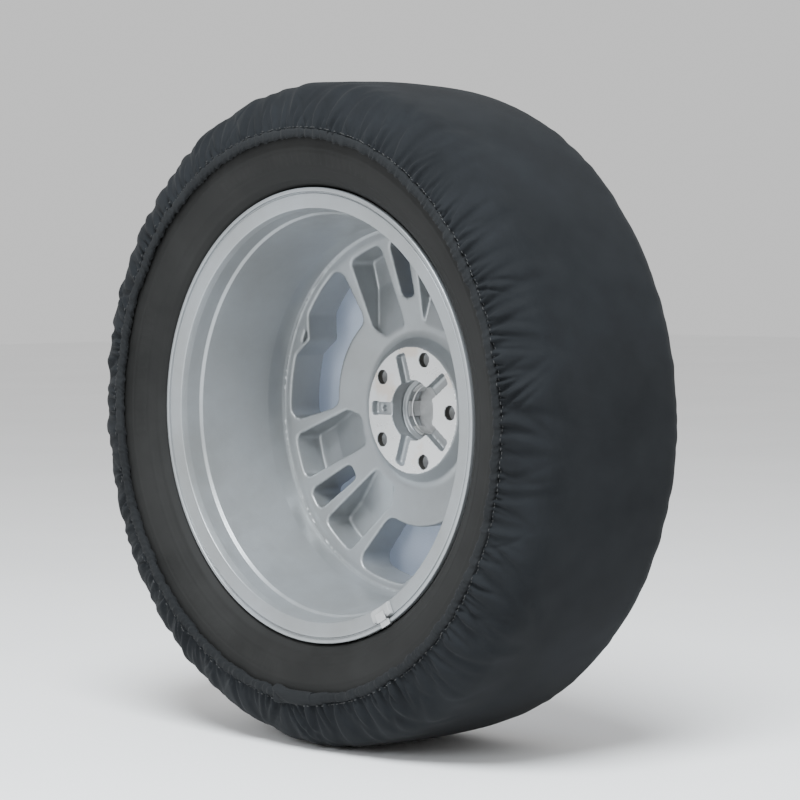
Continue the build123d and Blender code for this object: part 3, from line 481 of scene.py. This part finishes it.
# ---------------------------------------------------------------- tyre
def tyre_outline(count=400):
    """The tyre's outside from the crown's middle to its widest part: radius, distance from the
    middle plane, and the outward normal, at even steps of length."""
    crown_r = (CROWN_HALF**2 + CROWN_DROP**2) / (2 * CROWN_DROP)
    crown = np.array([TYRE_R - crown_r, 0.0])
    side = np.array([BULGE_R, HALF_SECTION - SIDE_ARC_R])
    a, b = SIDE_ARC_R - SHOULDER_ARC_R, crown_r - SHOULDER_ARC_R
    gap = np.linalg.norm(crown - side)
    turn = np.arccos((a**2 + gap**2 - b**2) / (2 * a * gap))
    base = atan2(crown[1] - side[1], crown[0] - side[0])
    found = [side + a * np.array([cos(base + s * turn), sin(base + s * turn)]) for s in (1, -1)]
    shoulder = max(found, key=lambda p: p[1])
    to_crown = np.degrees(atan2(*(shoulder - crown)[::-1]))
    to_side = np.degrees(atan2(*(shoulder - side)[::-1]))
    line = np.concatenate([
        arc_points(crown, crown_r, 0.0, to_crown, 300)[:-1],
        arc_points(shoulder, SHOULDER_ARC_R, to_crown, to_side, 120)[:-1],
        arc_points(side, SIDE_ARC_R, to_side, 90.0, 200),
    ])
    length = np.concatenate([[0], np.cumsum(np.linalg.norm(np.diff(line, axis=0), axis=1))])
    even = np.linspace(0, length[-1], count)
    line = np.stack([np.interp(even, length, line[:, k]) for k in (0, 1)], -1)
    along = np.gradient(line, axis=0)
    along /= np.linalg.norm(along, axis=1)[:, None]
    return even, line, np.stack([along[:, 1], -along[:, 0]], -1)


OUT_S, OUT_LINE, OUT_NORMAL = tyre_outline()
OUT_NORMAL[0] = (1.0, 0.0)


def outline_at(s):
    """Radius, distance from the middle plane and normal at lengths s from the crown's middle."""
    s = np.abs(s)
    return [np.interp(s, OUT_S, column) for column in (*OUT_LINE.T, *OUT_NORMAL.T)]


def length_at(distance):
    """The length along the outline where the distance from the middle plane is reached."""
    return float(np.interp(distance, OUT_LINE[:, 1], OUT_S))


def smooth_step(low, high, x):
    """0 below low, 1 above high and smooth between them."""
    t = np.clip((x - low) / (high - low), 0, 1)
    return t * t * (3 - 2 * t)


TREAD_EDGE_S = length_at(0.089)
GROOVES = ((0.024, 0.0058, 0.0036), (0.058, 0.0050, 0.0031))  # middle, half width at top and at foot
GROOVE_DEPTH = 0.0079
PITCHES = 72


def tread_rows():
    """Signed distances across the tread for its rows, with extra rows on the grooves' walls."""
    rows = [0.0, 0.006, 0.012]
    for middle, top, foot in GROOVES:
        rows += [middle - top - 0.0006, middle - top, middle - foot, middle, middle + foot, middle + top]
        rows += [middle + top + 0.0006]
    rows += [0.034, 0.040, 0.046, 0.067, 0.071, 0.075, 0.079, 0.083, 0.086, 0.089]
    rows = sorted(rows)
    return np.array([-r for r in rows[:0:-1]] + rows)


def tyre_tread():
    """The tread band: four grooves all round, and slots and sipes across its ribs."""
    across = tread_rows()
    columns = CLOTH_COLUMNS
    s = np.sign(across) * np.array([length_at(abs(v)) for v in across])
    radius, y, n_r, n_y = outline_at(s)
    y, n_y = y * np.sign(across), n_y * np.sign(across)
    depth = np.zeros((len(across), columns))
    for middle, _, foot in GROOVES:
        away = np.abs(np.abs(across) - middle)
        depth = np.maximum(depth, (GROOVE_DEPTH * (away <= foot + 1e-6))[:, None])
    per_pitch = columns // PITCHES
    column = np.arange(columns)[None, :]
    lean = np.round(np.abs(across) * 60).astype(int)[:, None]
    place = (column + lean * np.sign(across)[:, None].astype(int)) % per_pitch
    size = np.abs(across)[:, None]
    slot = (place < 3) & (size > 0.064)
    mid_slot = (place >= per_pitch // 2) & (place < per_pitch // 2 + 2) & (size > 0.030) & (size < 0.0525)
    sipe = (place % (per_pitch // 4) == 3) & (size > 0.0005) & (size < 0.0185)
    depth = np.maximum(depth, 0.0065 * slot)
    depth = np.maximum(depth, 0.0060 * mid_slot)
    depth = np.maximum(depth, 0.0022 * sipe)
    r = radius[:, None] - n_r[:, None] * depth
    yy = y[:, None] - n_y[:, None] * depth
    angle = np.arange(columns)[None, :] / columns * tau
    outer = on_wheel(r, MID_Y + yy, angle)
    inner = on_wheel((radius - 0.0125 * n_r)[::-1, None], MID_Y + (y - 0.0125 * n_y)[::-1, None], angle)
    inner = inner[[0, len(across) // 2, -1]]
    points = np.concatenate([outer, inner])
    rows = len(points)
    width = 2 * TREAD_EDGE_S
    return add_mesh(
        "tyre_tread", points, grid_faces(rows, columns),
        grid_uv(rows, columns, width, tau * TYRE_R),
    )


def hatch(radius, angle):
    """Raised hatching on the sidewall, in three arcs: 1 on the bars and 0 between them."""
    low, high = SEAT_R + 0.0405, SEAT_R + 0.0545
    band = smooth_step(low, low + 0.0012, radius) * (1 - smooth_step(high - 0.0012, high, radius))
    turns = np.degrees(angle) % 360
    out = np.zeros(np.broadcast(radius, angle).shape)
    for start, end, bars in ((216.0, 262.0, 24), (68.0, 118.0, 26), (156.0, 186.0, 16)):
        t = (turns - start) / (end - start)
        inside = (t > 0) & (t < 1)
        bar = smooth_step(0.22, 0.34, (t * bars) % 1) * (1 - smooth_step(0.84, 0.96, (t * bars) % 1))
        out = np.maximum(out, inside * bar)
    return out * band


def tyre_casing():
    """Both sidewalls and the air side, with rim guards, ribs and generic hatching."""
    columns = 576
    upper_s = np.linspace(length_at(0.0885), OUT_S[-1], 22)
    r_up, y_up, _, _ = outline_at(upper_s)
    guard_r, guard_y = FLANGE_R + 0.0042, HALF_RIM + 0.0116
    fall = HALF_SECTION - guard_y
    low_r = ((BULGE_R - guard_r) ** 2 + fall**2) / (2 * fall)
    centre = np.array([BULGE_R, HALF_SECTION - low_r])
    to_guard = np.degrees(atan2(guard_y - centre[1], guard_r - centre[0]))
    low = arc_points(centre, low_r, 90.0, to_guard, 34)[1:]
    curl = np.array([FLANGE_R - 0.008, HALF_RIM + 0.008])
    heel = np.concatenate([
        [[guard_r - 0.0015, guard_y - 0.0018]],
        arc_points(curl, 0.0095, 0.0, -90.0, 8),
        [[SEAT_R + 0.006, HALF_RIM - 0.0001], [SEAT_R + 0.001, HALF_RIM - 0.0001],
         [SEAT_R - 0.0016, HALF_RIM - 0.018]],
    ])
    inner = rounded([
        (SEAT_R + 0.010, HALF_RIM - 0.0145, 0.0), (guard_r + 0.012, HALF_SECTION - 0.0175, 0.02),
        (BULGE_R, HALF_SECTION - 0.008, 0.03), (TYRE_R - 0.024, HALF_SECTION - 0.024, 0.03),
        (TYRE_R - 0.018, 0.050, 0.0),
    ])[1:]
    outer = np.concatenate([np.stack([r_up, y_up], -1), low])
    half = np.concatenate([outer, heel, inner])
    n_outer = len(outer)
    full = np.concatenate([half * (1, -1), half[::-1]])
    # Ribs: raised rings on the sidewall, as radius, half width and height.
    ribs = [
        (guard_r + 0.0045, 0.0022, 0.0009), (SEAT_R + 0.0375, 0.0010, 0.0005),
        (SEAT_R + 0.0575, 0.0010, 0.0005), (BULGE_R + 0.012, 0.0015, 0.0006),
        (BULGE_R + 0.020, 0.0012, 0.0006),
    ]
    angle = np.arange(columns)[None, :] / columns * tau
    radius = np.repeat(full[:, :1], columns, axis=1)
    y = np.repeat(full[:, 1:], columns, axis=1)
    side = np.sign(full[:, 1:])
    on_side = np.zeros(len(full), dtype=bool)
    on_side[:n_outer] = True
    on_side[-n_outer:] = True
    lift = np.zeros_like(radius)
    for place, half_width, height in ribs:
        lift += height * np.exp(-(((full[:, :1] - place) / half_width) ** 2))
    lift += 0.0007 * hatch(radius, angle)
    y = y + side * lift * on_side[:, None] * smooth_step(FLANGE_R + 0.002, FLANGE_R + 0.006, radius)
    points = on_wheel(radius, MID_Y + y, angle)
    rows = len(points)
    length = float(np.linalg.norm(np.diff(full, axis=0), axis=1).sum())
    return add_mesh(
        "tyre_casing", points, grid_faces(rows, columns),
        grid_uv(rows, columns, length, tau * BULGE_R),
    )


# ---------------------------------------------------------------- sock
class Gathers:
    """Folds that run in from a gathered edge: each has its own place, depth, reach, width and lean."""

    def __init__(self, count, rng, strength, reach, width, spread=0.45):
        gaps = rng.lognormal(0.0, spread, count)
        self.angle = np.cumsum(gaps) / gaps.sum() * tau
        self.strength = strength * rng.uniform(0.45, 1.25, count)
        self.reach = rng.uniform(*reach, count)
        self.width = width * rng.uniform(0.75, 1.35, count)
        self.lean = rng.normal(0.0, 0.22, count)
        self.bend = rng.normal(0.0, 0.25, count)

    def at(self, angle, distance, radius, widen=0.07):
        """How deep the folds are at a row's angles, at one distance from the gathered edge."""
        drift = (self.lean * distance + self.bend * distance * distance / 0.05) / radius
        away = (angle[:, None] - self.angle[None, :] - drift[None, :] + pi) % tau - pi
        width = self.width + widen * max(distance, 0.0)
        fade = np.exp(-((max(distance, 0.0) / self.reach) ** 3))
        strength = self.strength * fade * (self.width / width) ** 0.35
        return (strength * np.exp(-((away * radius / width) ** 2))).sum(1)


def slow_field(rng, terms, round_up, across_up):
    """A smooth field over angle and length: a few long waves that close round the wheel."""
    n = rng.integers(2, round_up, terms)
    m = rng.normal(0.0, across_up, terms)
    phase = rng.uniform(0, tau, terms)
    size = rng.uniform(0.4, 1.0, terms) / np.sqrt(terms)

    def field(angle, s):
        return (size * np.cos(np.outer(angle, n) + m * s + phase)).sum(1)

    return field


class SockSide:
    """The folds of one side of the sock, from the tread to the gathered edge."""

    def __init__(self, seed, edge_s, puff, strength):
        rng = np.random.default_rng(seed)
        self.edge_s = edge_s
        self.puff = puff
        self.long = Gathers(118, rng, 1.45 * strength, (0.040, 0.084), 0.0023)
        self.middle = Gathers(150, rng, 1.2 * strength, (0.018, 0.044), 0.0017)
        self.fine = Gathers(250, rng, 0.9 * strength, (0.004, 0.011), 0.0011, 0.3)
        self.lumps = slow_field(rng, 26, 70, 40.0)
        self.slack = slow_field(rng, 14, 18, 22.0)

    def lift(self, angle, s, radius):
        """How far the cloth stands off its base line in one row."""
        distance = self.edge_s - s
        folds = self.long.at(angle, distance, radius) + self.middle.at(angle, distance, radius, 0.05)
        folds += self.fine.at(angle, distance, radius, 0.04)
        near = np.exp(-((max(distance, 0.0) / 0.052) ** 1.7))
        height = self.puff * (0.16 + 0.84 * near)
        height = height * (1 + 0.35 * self.lumps(angle, s)) + 0.0005 * self.slack(angle, s)
        top = np.maximum(height, 0.0001)
        return top * np.exp(-folds) + 0.22 * self.puff * near


def crease(angle, s, edge_s):
    """The long slanting crease below the place where the hem's ends meet."""
    distance = edge_s - s
    line = radians(JOIN_ANGLE - 7.0) - distance * 2.4
    away = (angle - line + pi) % tau - pi
    return 1.6 * np.exp(-((away * HEM_MIDDLE_R / (0.0028 + 0.04 * max(distance, 0))) ** 2)) * np.exp(
        -((max(distance, 0) / 0.055) ** 4))


def layered(name, outer, uv_size, flip=False):
    """A closed sheet from its outer grid (rows, columns, 3), with an inner layer under it.

    uv_size is its length across the rows and its length round the wheel."""
    first = outer[:1] + 0.03 * (outer[1:2] - outer[:1])
    last = outer[-1:] + 0.03 * (outer[-2:-1] - outer[-1:])
    outer = np.concatenate([outer[:1], first, outer[1:-1], last, outer[-1:]])
    rows, columns, _ = outer.shape
    around = np.roll(outer, -1, axis=1) - np.roll(outer, 1, axis=1)
    down = np.gradient(outer, axis=0)
    normal = np.cross(around, down)
    normal /= np.maximum(np.linalg.norm(normal, axis=2), 1e-12)[..., None]
    if flip:
        normal = -normal
    # The inner layer is out of sight, so it keeps only every fourth row and both ends.
    kept = sorted({*range(0, rows, 4), 1, rows - 2, rows - 1})
    inner = (outer - normal * CLOTH_T)[kept]
    points = np.concatenate([outer, inner[::-1]])
    total = len(points)
    length, round_it = uv_size
    return add_mesh(
        name, points, grid_faces(total, columns, flip), grid_uv(total, columns, 2 * length, round_it, flip)
    )


SEAM_S = length_at(SEAM_HALF)
HEM_S = float(np.interp(-(HEM_MIDDLE_R + 0.0045), -OUT_LINE[:, 0], OUT_S))
INBOARD = SockSide(5, HEM_S, 0.0052, 1.25)
OUTBOARD = SockSide(23, OUT_S[-1] - 0.004, 0.0022, 0.75)
TREAD_SLACK = slow_field(np.random.default_rng(8), 20, 26, 30.0)
COLUMN_ANGLE = np.arange(CLOTH_COLUMNS) / CLOTH_COLUMNS * tau


def sock_row(s, side):
    """One row of the sock's outer face at length s. side is -1 inboard and 1 outboard."""
    radius, y, n_r, n_y = (float(v) for v in outline_at(s))
    model = INBOARD if side < 0 else OUTBOARD
    lift = model.lift(COLUMN_ANGLE, s, radius)
    if side < 0:
        lift = lift * np.exp(-crease(COLUMN_ANGLE, s, model.edge_s)) + 0.0001
        # Past the stitch line the cloth turns down into the hem.
        lift = lift * (1 - 0.62 * smooth_step(HEM_S, HEM_S + 0.0022, s))
    blend = smooth_step(0.030, 0.070, s)
    lift = lift * blend + 0.00035 * (1 + TREAD_SLACK(COLUMN_ANGLE, side * s))
    stand = SOCK_STAND - 0.0003 + lift
    return on_wheel(radius + n_r * stand, MID_Y + side * (y + n_y * stand), COLUMN_ANGLE)


def sock_tread():
    """The panel over the tread, from seam to seam."""
    s = np.linspace(0, SEAM_S, 25)
    rows = [sock_row(v, -1) for v in s[:0:-1]] + [sock_row(v, 1) for v in s]
    return layered("sock_tread_cloth", np.array(rows), (2 * SEAM_S, tau * TYRE_R), flip=True)


def sock_skirt(side, edge_s, rows, name):
    """The gathered panel on one side of the tyre, from its seam to edge_s."""
    s = np.linspace(SEAM_S, edge_s, rows)
    grid = np.array([sock_row(v, side) for v in s])
    return layered(name, grid, (edge_s - SEAM_S, tau * TYRE_R), flip=side > 0)


def hem_tube():
    """The inboard hem: a ruched tube round the elastic, smooth where its ends overlap."""
    rng = np.random.default_rng(31)
    rows = 30
    columns = CLOTH_COLUMNS
    ruche = Gathers(250, rng, 1.0, (0.5, 0.6), 0.0013, 0.35)
    wide = Gathers(110, rng, 0.8, (0.5, 0.6), 0.0024, 0.4)
    lumps = slow_field(rng, 30, 130, 0.0)
    wander = slow_field(rng, 16, 40, 0.0)
    turns = np.degrees(COLUMN_ANGLE)
    smooth = smooth_step(-9.0, -6.0, turns - JOIN_ANGLE) * (1 - smooth_step(4.0, 9.0, turns - JOIN_ANGLE))
    rough = 1 - 0.93 * smooth
    centre_y = HEM_LOW_Y + HEM_HALF_Y
    power = 2 / 2.6  # makes the tube's section a little squarer than an ellipse
    grid = []
    for k in range(rows):
        phi = k / rows * tau
        out_r = np.sign(cos(phi)) * abs(cos(phi)) ** power * HEM_HALF_R
        out_y = -np.sign(sin(phi)) * abs(sin(phi)) ** power * HEM_HALF_Y
        lean = 0.0035 * np.sin(phi)
        turn_by = lean / HEM_MIDDLE_R
        folds = 0.5 * ruche.at(COLUMN_ANGLE + turn_by * 2, 0.004 * (1 + sin(phi)), HEM_MIDDLE_R, 0.0)
        folds += 0.4 * wide.at(COLUMN_ANGLE - turn_by, 0.006 * (1 - cos(phi)), HEM_MIDDLE_R, 0.0)
        for pleats in (INBOARD.fine, INBOARD.middle, INBOARD.long):
            folds += 0.75 * pleats.at(COLUMN_ANGLE + turn_by, 0.0, HEM_MIDDLE_R, 0.0)
        squeeze = 1.06 - 0.38 * rough * (1 - np.exp(-folds))
        squeeze = squeeze + 0.07 * rough * lumps(COLUMN_ANGLE, 0) + 0.05 * smooth
        radius = HEM_MIDDLE_R + out_r * squeeze + 0.0007 * wander(COLUMN_ANGLE, 0)
        y = centre_y + out_y * squeeze + 0.0006 * lumps(COLUMN_ANGLE + 1.0, 0)
        # The tube never goes below the tyre's skin.
        y = np.minimum(y, MID_Y - HALF_SECTION - 0.0006)
        grid.append(on_wheel(radius, y, COLUMN_ANGLE))
    grid = np.array(grid)
    return add_mesh("sock_inboard_hem", grid, grid_faces(rows, columns),
                    grid_uv(rows, columns, 0.034, tau * HEM_MIDDLE_R))


def hem_sleeve():
    """The overlap of the hem's ends: one end tucked over the other, with a raw folded edge."""
    columns, rows = 60, 28
    centre_y = HEM_LOW_Y + HEM_HALF_Y
    start, end = radians(JOIN_ANGLE - 8.5), radians(JOIN_ANGLE + 2.5)
    angle = np.linspace(start, end, columns)
    t = np.linspace(0, 1, columns)
    swell = 1.10 + 0.16 * np.exp(-((t / 0.12) ** 2)) - 0.08 * smooth_step(0.75, 1.0, t)
    grid = []
    for k in range(rows):
        phi = -0.35 * pi + k / (rows - 1) * 1.62 * pi
        out_r = np.sign(cos(phi)) * abs(cos(phi)) ** 0.8 * HEM_HALF_R * swell
        out_y = -np.sign(sin(phi)) * abs(sin(phi)) ** 0.8 * HEM_HALF_Y * swell
        skew = 0.010 * (0.5 - k / rows) * np.exp(-(t / 0.3))
        tuck = 0.0012 * np.sin(9.0 * t + 3.0 * phi) * np.exp(-(((t - 0.1) / 0.2) ** 2))
        y = np.minimum(centre_y + out_y, MID_Y - HALF_SECTION - 0.0005)
        grid.append(on_wheel(HEM_MIDDLE_R + out_r + tuck, y - tuck, angle + skew / HEM_MIDDLE_R))
    grid = np.array(grid)
    r = np.arange(rows - 1)
    c = np.arange(columns - 1)
    rr, cc = np.meshgrid(r, c, indexing="ij")
    quads = np.stack([rr * columns + cc, rr * columns + cc + 1, (rr + 1) * columns + cc + 1,
                      (rr + 1) * columns + cc], -1).reshape(-1, 4)
    length = np.linspace(0, 0.05, columns)
    uv = np.stack([np.broadcast_to(length[None, :], (rows, columns)),
                   np.broadcast_to(np.linspace(0, 0.03, rows)[:, None], (rows, columns))], -1).reshape(-1, 2)
    piece = add_mesh("sock_hem_overlap", grid, quads, uv[quads])
    shell = piece.modifiers.new("thickness", "SOLIDIFY")
    shell.thickness = 0.0011
    shell.offset = 1.0
    return piece


def face_rows():
    """Radius and y of the face panel's rows, from the outer edge to the opening."""
    outer, inner = FACE_OUTER, FACE_OPENING_R + 0.0055
    radius = np.linspace(outer, inner, 62)
    y_outer, y_inner = FACE_BOX[1][1] - 0.0001, FACE_BOX[1][1] - 0.0052
    return radius, y_outer + (y_inner - y_outer) * (outer - radius) / (outer - inner)


def sock_face():
    """The pale face panel, gathered by the cord at its opening, slack between folds."""
    rng = np.random.default_rng(41)
    columns = 720
    angle = np.arange(columns) / columns * tau
    folds = Gathers(58, rng, 0.9, (0.030, 0.100), 0.0030)
    small = Gathers(96, rng, 0.9, (0.008, 0.026), 0.0018)
    edge = Gathers(120, rng, 0.7, (0.006, 0.022), 0.0022)
    slack = slow_field(rng, 18, 9, 30.0)
    radius, base = face_rows()
    grid = []
    for r, y in zip(radius, base):
        from_opening = r - radius[-1]
        from_edge = radius[0] - r
        near = np.exp(-((from_opening / 0.055) ** 1.5))
        ridge = folds.at(angle, from_opening, r, 0.11) + small.at(angle, from_opening, r, 0.07)
        outer = edge.at(angle, from_edge, r, 0.10)
        by_edge = np.exp(-((from_edge / 0.03) ** 2))
        free = smooth_step(0, 0.03, from_edge) * smooth_step(0, 0.02, from_opening)
        height = 0.0042 * near * np.exp(-ridge) + 0.0016 * by_edge * np.exp(-outer)
        height += 0.0011 * slack(angle, r) * free
        grid.append(on_wheel(np.full(columns, r), y + height, angle))
    grid = np.array(grid)
    length = radius[0] - radius[-1]
    return layered("sock_face_cloth", grid, (length, tau * radius.mean()), flip=True)


def face_hem():
    """The face panel's hem round its cord."""
    rng = np.random.default_rng(43)
    rows, columns = 20, 720
    angle = np.arange(columns) / columns * tau
    ruche = Gathers(118, rng, 1.0, (0.5, 0.6), 0.0013, 0.3)
    middle_r = FACE_OPENING_R + 0.0042
    middle_y = FACE_BOX[1][1] - 0.0060
    grid = []
    for k in range(rows):
        phi = k / rows * tau
        size = 0.0043 * (1 - 0.16 * (1 - np.exp(-ruche.at(angle, 0.003 * (1 + sin(phi)), middle_r, 0.0))))
        grid.append(on_wheel(middle_r + cos(phi) * size, middle_y + sin(phi) * size, angle))
    return add_mesh("sock_face_hem", np.array(grid), grid_faces(rows, columns, flip=True),
                    grid_uv(rows, columns, 0.027, tau * middle_r, flip=True))


def stitches(name, count, place, length=0.0034, thread=0.00042):
    """A row of stitches round the wheel. place(angle) gives the point and the outward normal."""
    ring, along = 6, 7
    points, faces = [], []
    for i in range(count):
        angle = (i + 0.5) / count * tau
        centre, normal = place(angle)
        tangent = np.array([-sin(angle), 0.0, cos(angle)])
        side = np.cross(tangent, normal)
        base = len(points)
        for k in range(along):
            t = k / (along - 1) * 2 - 1
            arch = (1 - t * t) * 0.00045 - 0.00025
            thin = thread * sqrt(max(1 - abs(t) ** 3, 0.08))
            middle = centre + tangent * t * length / 2 + normal * arch
            for j in range(ring):
                a = j / ring * tau
                points.append(middle + thin * (cos(a) * normal + sin(a) * side))
        for k in range(along - 1):
            for j in range(ring):
                a, b = base + k * ring + j, base + k * ring + (j + 1) % ring
                faces.append((a, b, b + ring, a + ring))
    return add_mesh(name, np.array(points), np.array(faces))


def hem_stitches():
    """The stitch line between the hem and the skirt."""
    step = CLOTH_COLUMNS / tau
    row_s = HEM_S - 0.0012
    row = sock_row(row_s, -1)
    _, _, n_r, n_y = (float(v) for v in outline_at(row_s))

    def place(angle):
        point = row[int(angle * step) % CLOTH_COLUMNS]
        normal = np.array([n_r * cos(angle), -n_y, n_r * sin(angle)])
        return point + normal * 0.0003, normal

    return stitches("sock_hem_stitching", 420, place)


def face_stitches():
    """The stitch line just inside the face panel's outer edge."""
    radius, base = face_rows()
    r, y = radius[2], base[2] + 0.0018

    def place(angle):
        return np.array([r * cos(angle), y, r * sin(angle)]), np.array([0.0, 1.0, 0.0])

    return stitches("sock_face_stitching", 380, place, 0.0034, 0.0004)


# ---------------------------------------------------------------- assembly
LACQUER = cast_lacquer("silver_lacquer", 0.32, 0.36)
# Painted shade: a dark brownish grey on the stud holes' walls stands in for the shade inside the holes.
HOLE_SHADE = plain("painted_shade_hole_wall", 0.05, 0.6, 0.3, tint=(1.0, 0.95, 0.85))
MACHINED = machined("machined_pad", 0.82, 0.30)
SKIRT = fabric("charcoal_weave", (0.0060, 0.0066, 0.0076), (0.0165, 0.0185, 0.021), 0.0011, 0.025)
HEM = fabric("charcoal_hem", (0.0075, 0.0080, 0.0088), (0.0200, 0.0212, 0.0225), 0.0011, 0.03)
FACE = fabric("pale_weave", (0.56, 0.60, 0.66), (0.74, 0.78, 0.84), 0.0012, 0.05)
let_through(FACE, 0.5, (0.72, 0.78, 0.88))
THREAD = plain("stitch_thread", 0.035, 0.8, 0.0, 1500.0, 0.2)
RUBBER = tyre_rubber("tyre_rubber", 0.010)
SEAL_RUBBER = tyre_rubber("seal_rubber", 0.02)
STEEL = plain("bright_steel", 0.55, 0.32, 0.9)
BRASS = plain("nickel_brass", 0.55, 0.30, 0.9, tint=(1.0, 0.86, 0.60))
BRONZE = plain("bronze_wire", 0.35, 0.45, 0.85, tint=(1.0, 0.78, 0.50))
ZINC = plain("coated_zinc", 0.38, 0.5, 0.35)
BLACK = plain("black_plastic", 0.018, 0.45)
SILVER_PLASTIC = plain("silver_plastic", 0.50, 0.36, 0.4)


def face_places(mesh):
    """Each face's middle and normal as arrays."""
    count = len(mesh.polygons)
    middle = np.empty(count * 3, dtype=np.float32)
    normal = np.empty(count * 3, dtype=np.float32)
    mesh.polygons.foreach_get("center", middle)
    mesh.polygons.foreach_get("normal", normal)
    return middle.reshape(-1, 3), normal.reshape(-1, 3)


dress(wheel_rim(), LACQUER, "wheel", "alloy_wheel", "alloy_wheel")
disc = dress(wheel_disc(), LACQUER, "wheel", "alloy_wheel", "alloy_wheel")
disc.data.materials.append(MACHINED)
middle, normal = face_places(disc.data)
from_axis = np.hypot(middle[:, 0], middle[:, 2])
on_pad = (np.abs(middle[:, 1]) < 0.0004) & (from_axis < PAD_R) & (normal[:, 1] < -0.9)
# The stud holes' walls take the painted shade material, so the holes look dark as if in shade.
disc.data.materials.append(HOLE_SHADE)
hole_shade_faces = np.zeros(len(middle), dtype=bool)
for k in range(STUDS):
    stud = radians(PAIR_PHASE + 360 / STUDS * k)
    away = np.hypot(middle[:, 0] - STUD_CIRCLE_R * cos(stud), middle[:, 2] - STUD_CIRCLE_R * sin(stud))
    hole_shade_faces |= (away < STUD_R + 0.0005) & (middle[:, 1] > 0.0006) & (middle[:, 1] < 0.032)
disc.data.polygons.foreach_set("material_index", on_pad.astype(np.int32) + 2 * hole_shade_faces.astype(np.int32))
disc.data.polygons.foreach_set("use_smooth", ~on_pad)

tread = dress(tyre_tread(), RUBBER, "wheel", "tyre", "tyre")
casing = dress(tyre_casing(), RUBBER, "wheel", "tyre", "tyre")

tread_cloth = dress(sock_tread(), SKIRT, "sock", "sock_tread_panel", "sock_tread_panel")
skirt_in = dress(
    sock_skirt(-1, HEM_S + 0.0042, 48, "sock_inboard_skirt"),
    SKIRT, "sock", "sock_inboard_side", "sock_inboard_side",
)
skirt_out = dress(
    sock_skirt(1, OUTBOARD.edge_s, 26, "sock_outboard_skirt"),
    SKIRT, "sock", "sock_outboard_side", "sock_outboard_side",
)
hem = dress(hem_tube(), HEM, "sock", "sock_inboard_elastic", "sock_inboard_elastic")
sleeve = dress(hem_sleeve(), HEM, "sock", "sock_inboard_side")
hem_thread = dress(hem_stitches(), THREAD, "sock", "sock_inboard_side")
face_cloth = dress(sock_face(), FACE, "sock", "sock_face_panel", "sock_face_panel")
face_rim = dress(face_hem(), FACE, "sock", "sock_face_elastic", "sock_face_elastic")
face_thread = dress(face_stitches(), THREAD, "sock", "sock_face_panel")

NODE_LOOKS = {
    "bead_core_inboard": (BRONZE, 0), "bead_core_outboard": (BRONZE, 0),
    "steel_belt_outer": (STEEL, 0), "steel_belt_inner": (STEEL, 0),
    "centre_cap": (SILVER_PLASTIC, 0.0006), "centre_cap_ring": (STEEL, 0),
    "balance_weight": (ZINC, 0.0005), "balance_weight_clip": (STEEL, 0.0002),
    "valve_body": (SEAL_RUBBER, 0.0003), "valve_tube": (BRASS, 0.0001), "valve_core": (BRASS, 0),
    "valve_pin": (BRASS, 0.0001), "valve_core_seal": (SEAL_RUBBER, 0), "valve_spring": (STEEL, 0),
    "valve_cap": (BLACK, 0.0002), "valve_cap_seal": (SEAL_RUBBER, 0),
}
for name, (material, bevel) in NODE_LOOKS.items():
    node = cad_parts[name]
    node.data.materials.clear()
    node.data.materials.append(material)
    if bevel:
        weld = node.modifiers.new("weld", "WELD")
        weld.merge_threshold = 1e-5
        soft = node.modifiers.new("edges", "BEVEL")
        soft.width = bevel
        soft.segments = 2
        soft.limit_method = "ANGLE"
        soft.angle_limit = radians(35)
        soft.harden_normals = False


# ---------------------------------------------------------------- stage
def stage_floor():
    """A plain pale floor that the tyre stands on."""
    half = 12.0
    corners = [(-half, -half), (half, -half), (half, half), (-half, half)]
    low = -SOCK_R - 0.0006
    floor = add_mesh("floor", np.array([(x, y, low) for x, y in corners]), np.array([[0, 1, 2, 3]]))
    n = Nodes("floor_white", Roughness=0.85, Specular_IOR_Level=0.1)
    colour = n.colours(n.noise(n.coordinates(), 2.0), (0.3, shade(0.90)), (0.7, shade(0.93)))
    floor.data.materials.append(n.finish(colour))


def area_light(name, place, target, size, energy):
    """A soft round light at place, turned to target."""
    data = bpy.data.lights.new(name, "AREA")
    data.shape = "DISK"
    data.size = size
    data.energy = energy
    data.color = (0.90, 0.96, 1.0)
    lamp = bpy.data.objects.new(name, data)
    lamp.location = place
    lamp.rotation_euler = (Vector(target) - Vector(place)).to_track_quat("-Z", "Y").to_euler()
    bpy.context.collection.objects.link(lamp)


stage_floor()
world = bpy.data.worlds.new("studio")
world.use_nodes = True
world.node_tree.nodes["Background"].inputs["Color"].default_value = (1.0, 1.0, 1.0, 1.0)
world.node_tree.nodes["Background"].inputs["Strength"].default_value = 0.80
bpy.context.scene.world = world
area_light("key", (1.1, -1.5, 2.7), (0, -0.05, 0), 1.7, 270.0)
area_light("front", (0.9, -3.0, 1.1), (0, -0.05, 0), 1.2, 34.0)

camera_data = bpy.data.cameras.new("camera")
camera_data.lens = 135.0
camera_data.sensor_width = 36.0
camera = bpy.data.objects.new("camera", camera_data)
bpy.context.collection.objects.link(camera)
CAMERA_AT = Vector((2.306, -2.207, 0.166))
RIGHT = Vector((0.68875, 0.72499, -0.00577))
UP = Vector((-0.03118, 0.03757, 0.99881))
BACK = RIGHT.cross(UP).normalized()
UP = BACK.cross(RIGHT).normalized()
turn = Matrix((RIGHT.normalized(), UP, BACK)).transposed()
camera.matrix_world = Matrix.Translation(CAMERA_AT) @ turn.to_4x4()
bpy.context.scene.camera = camera
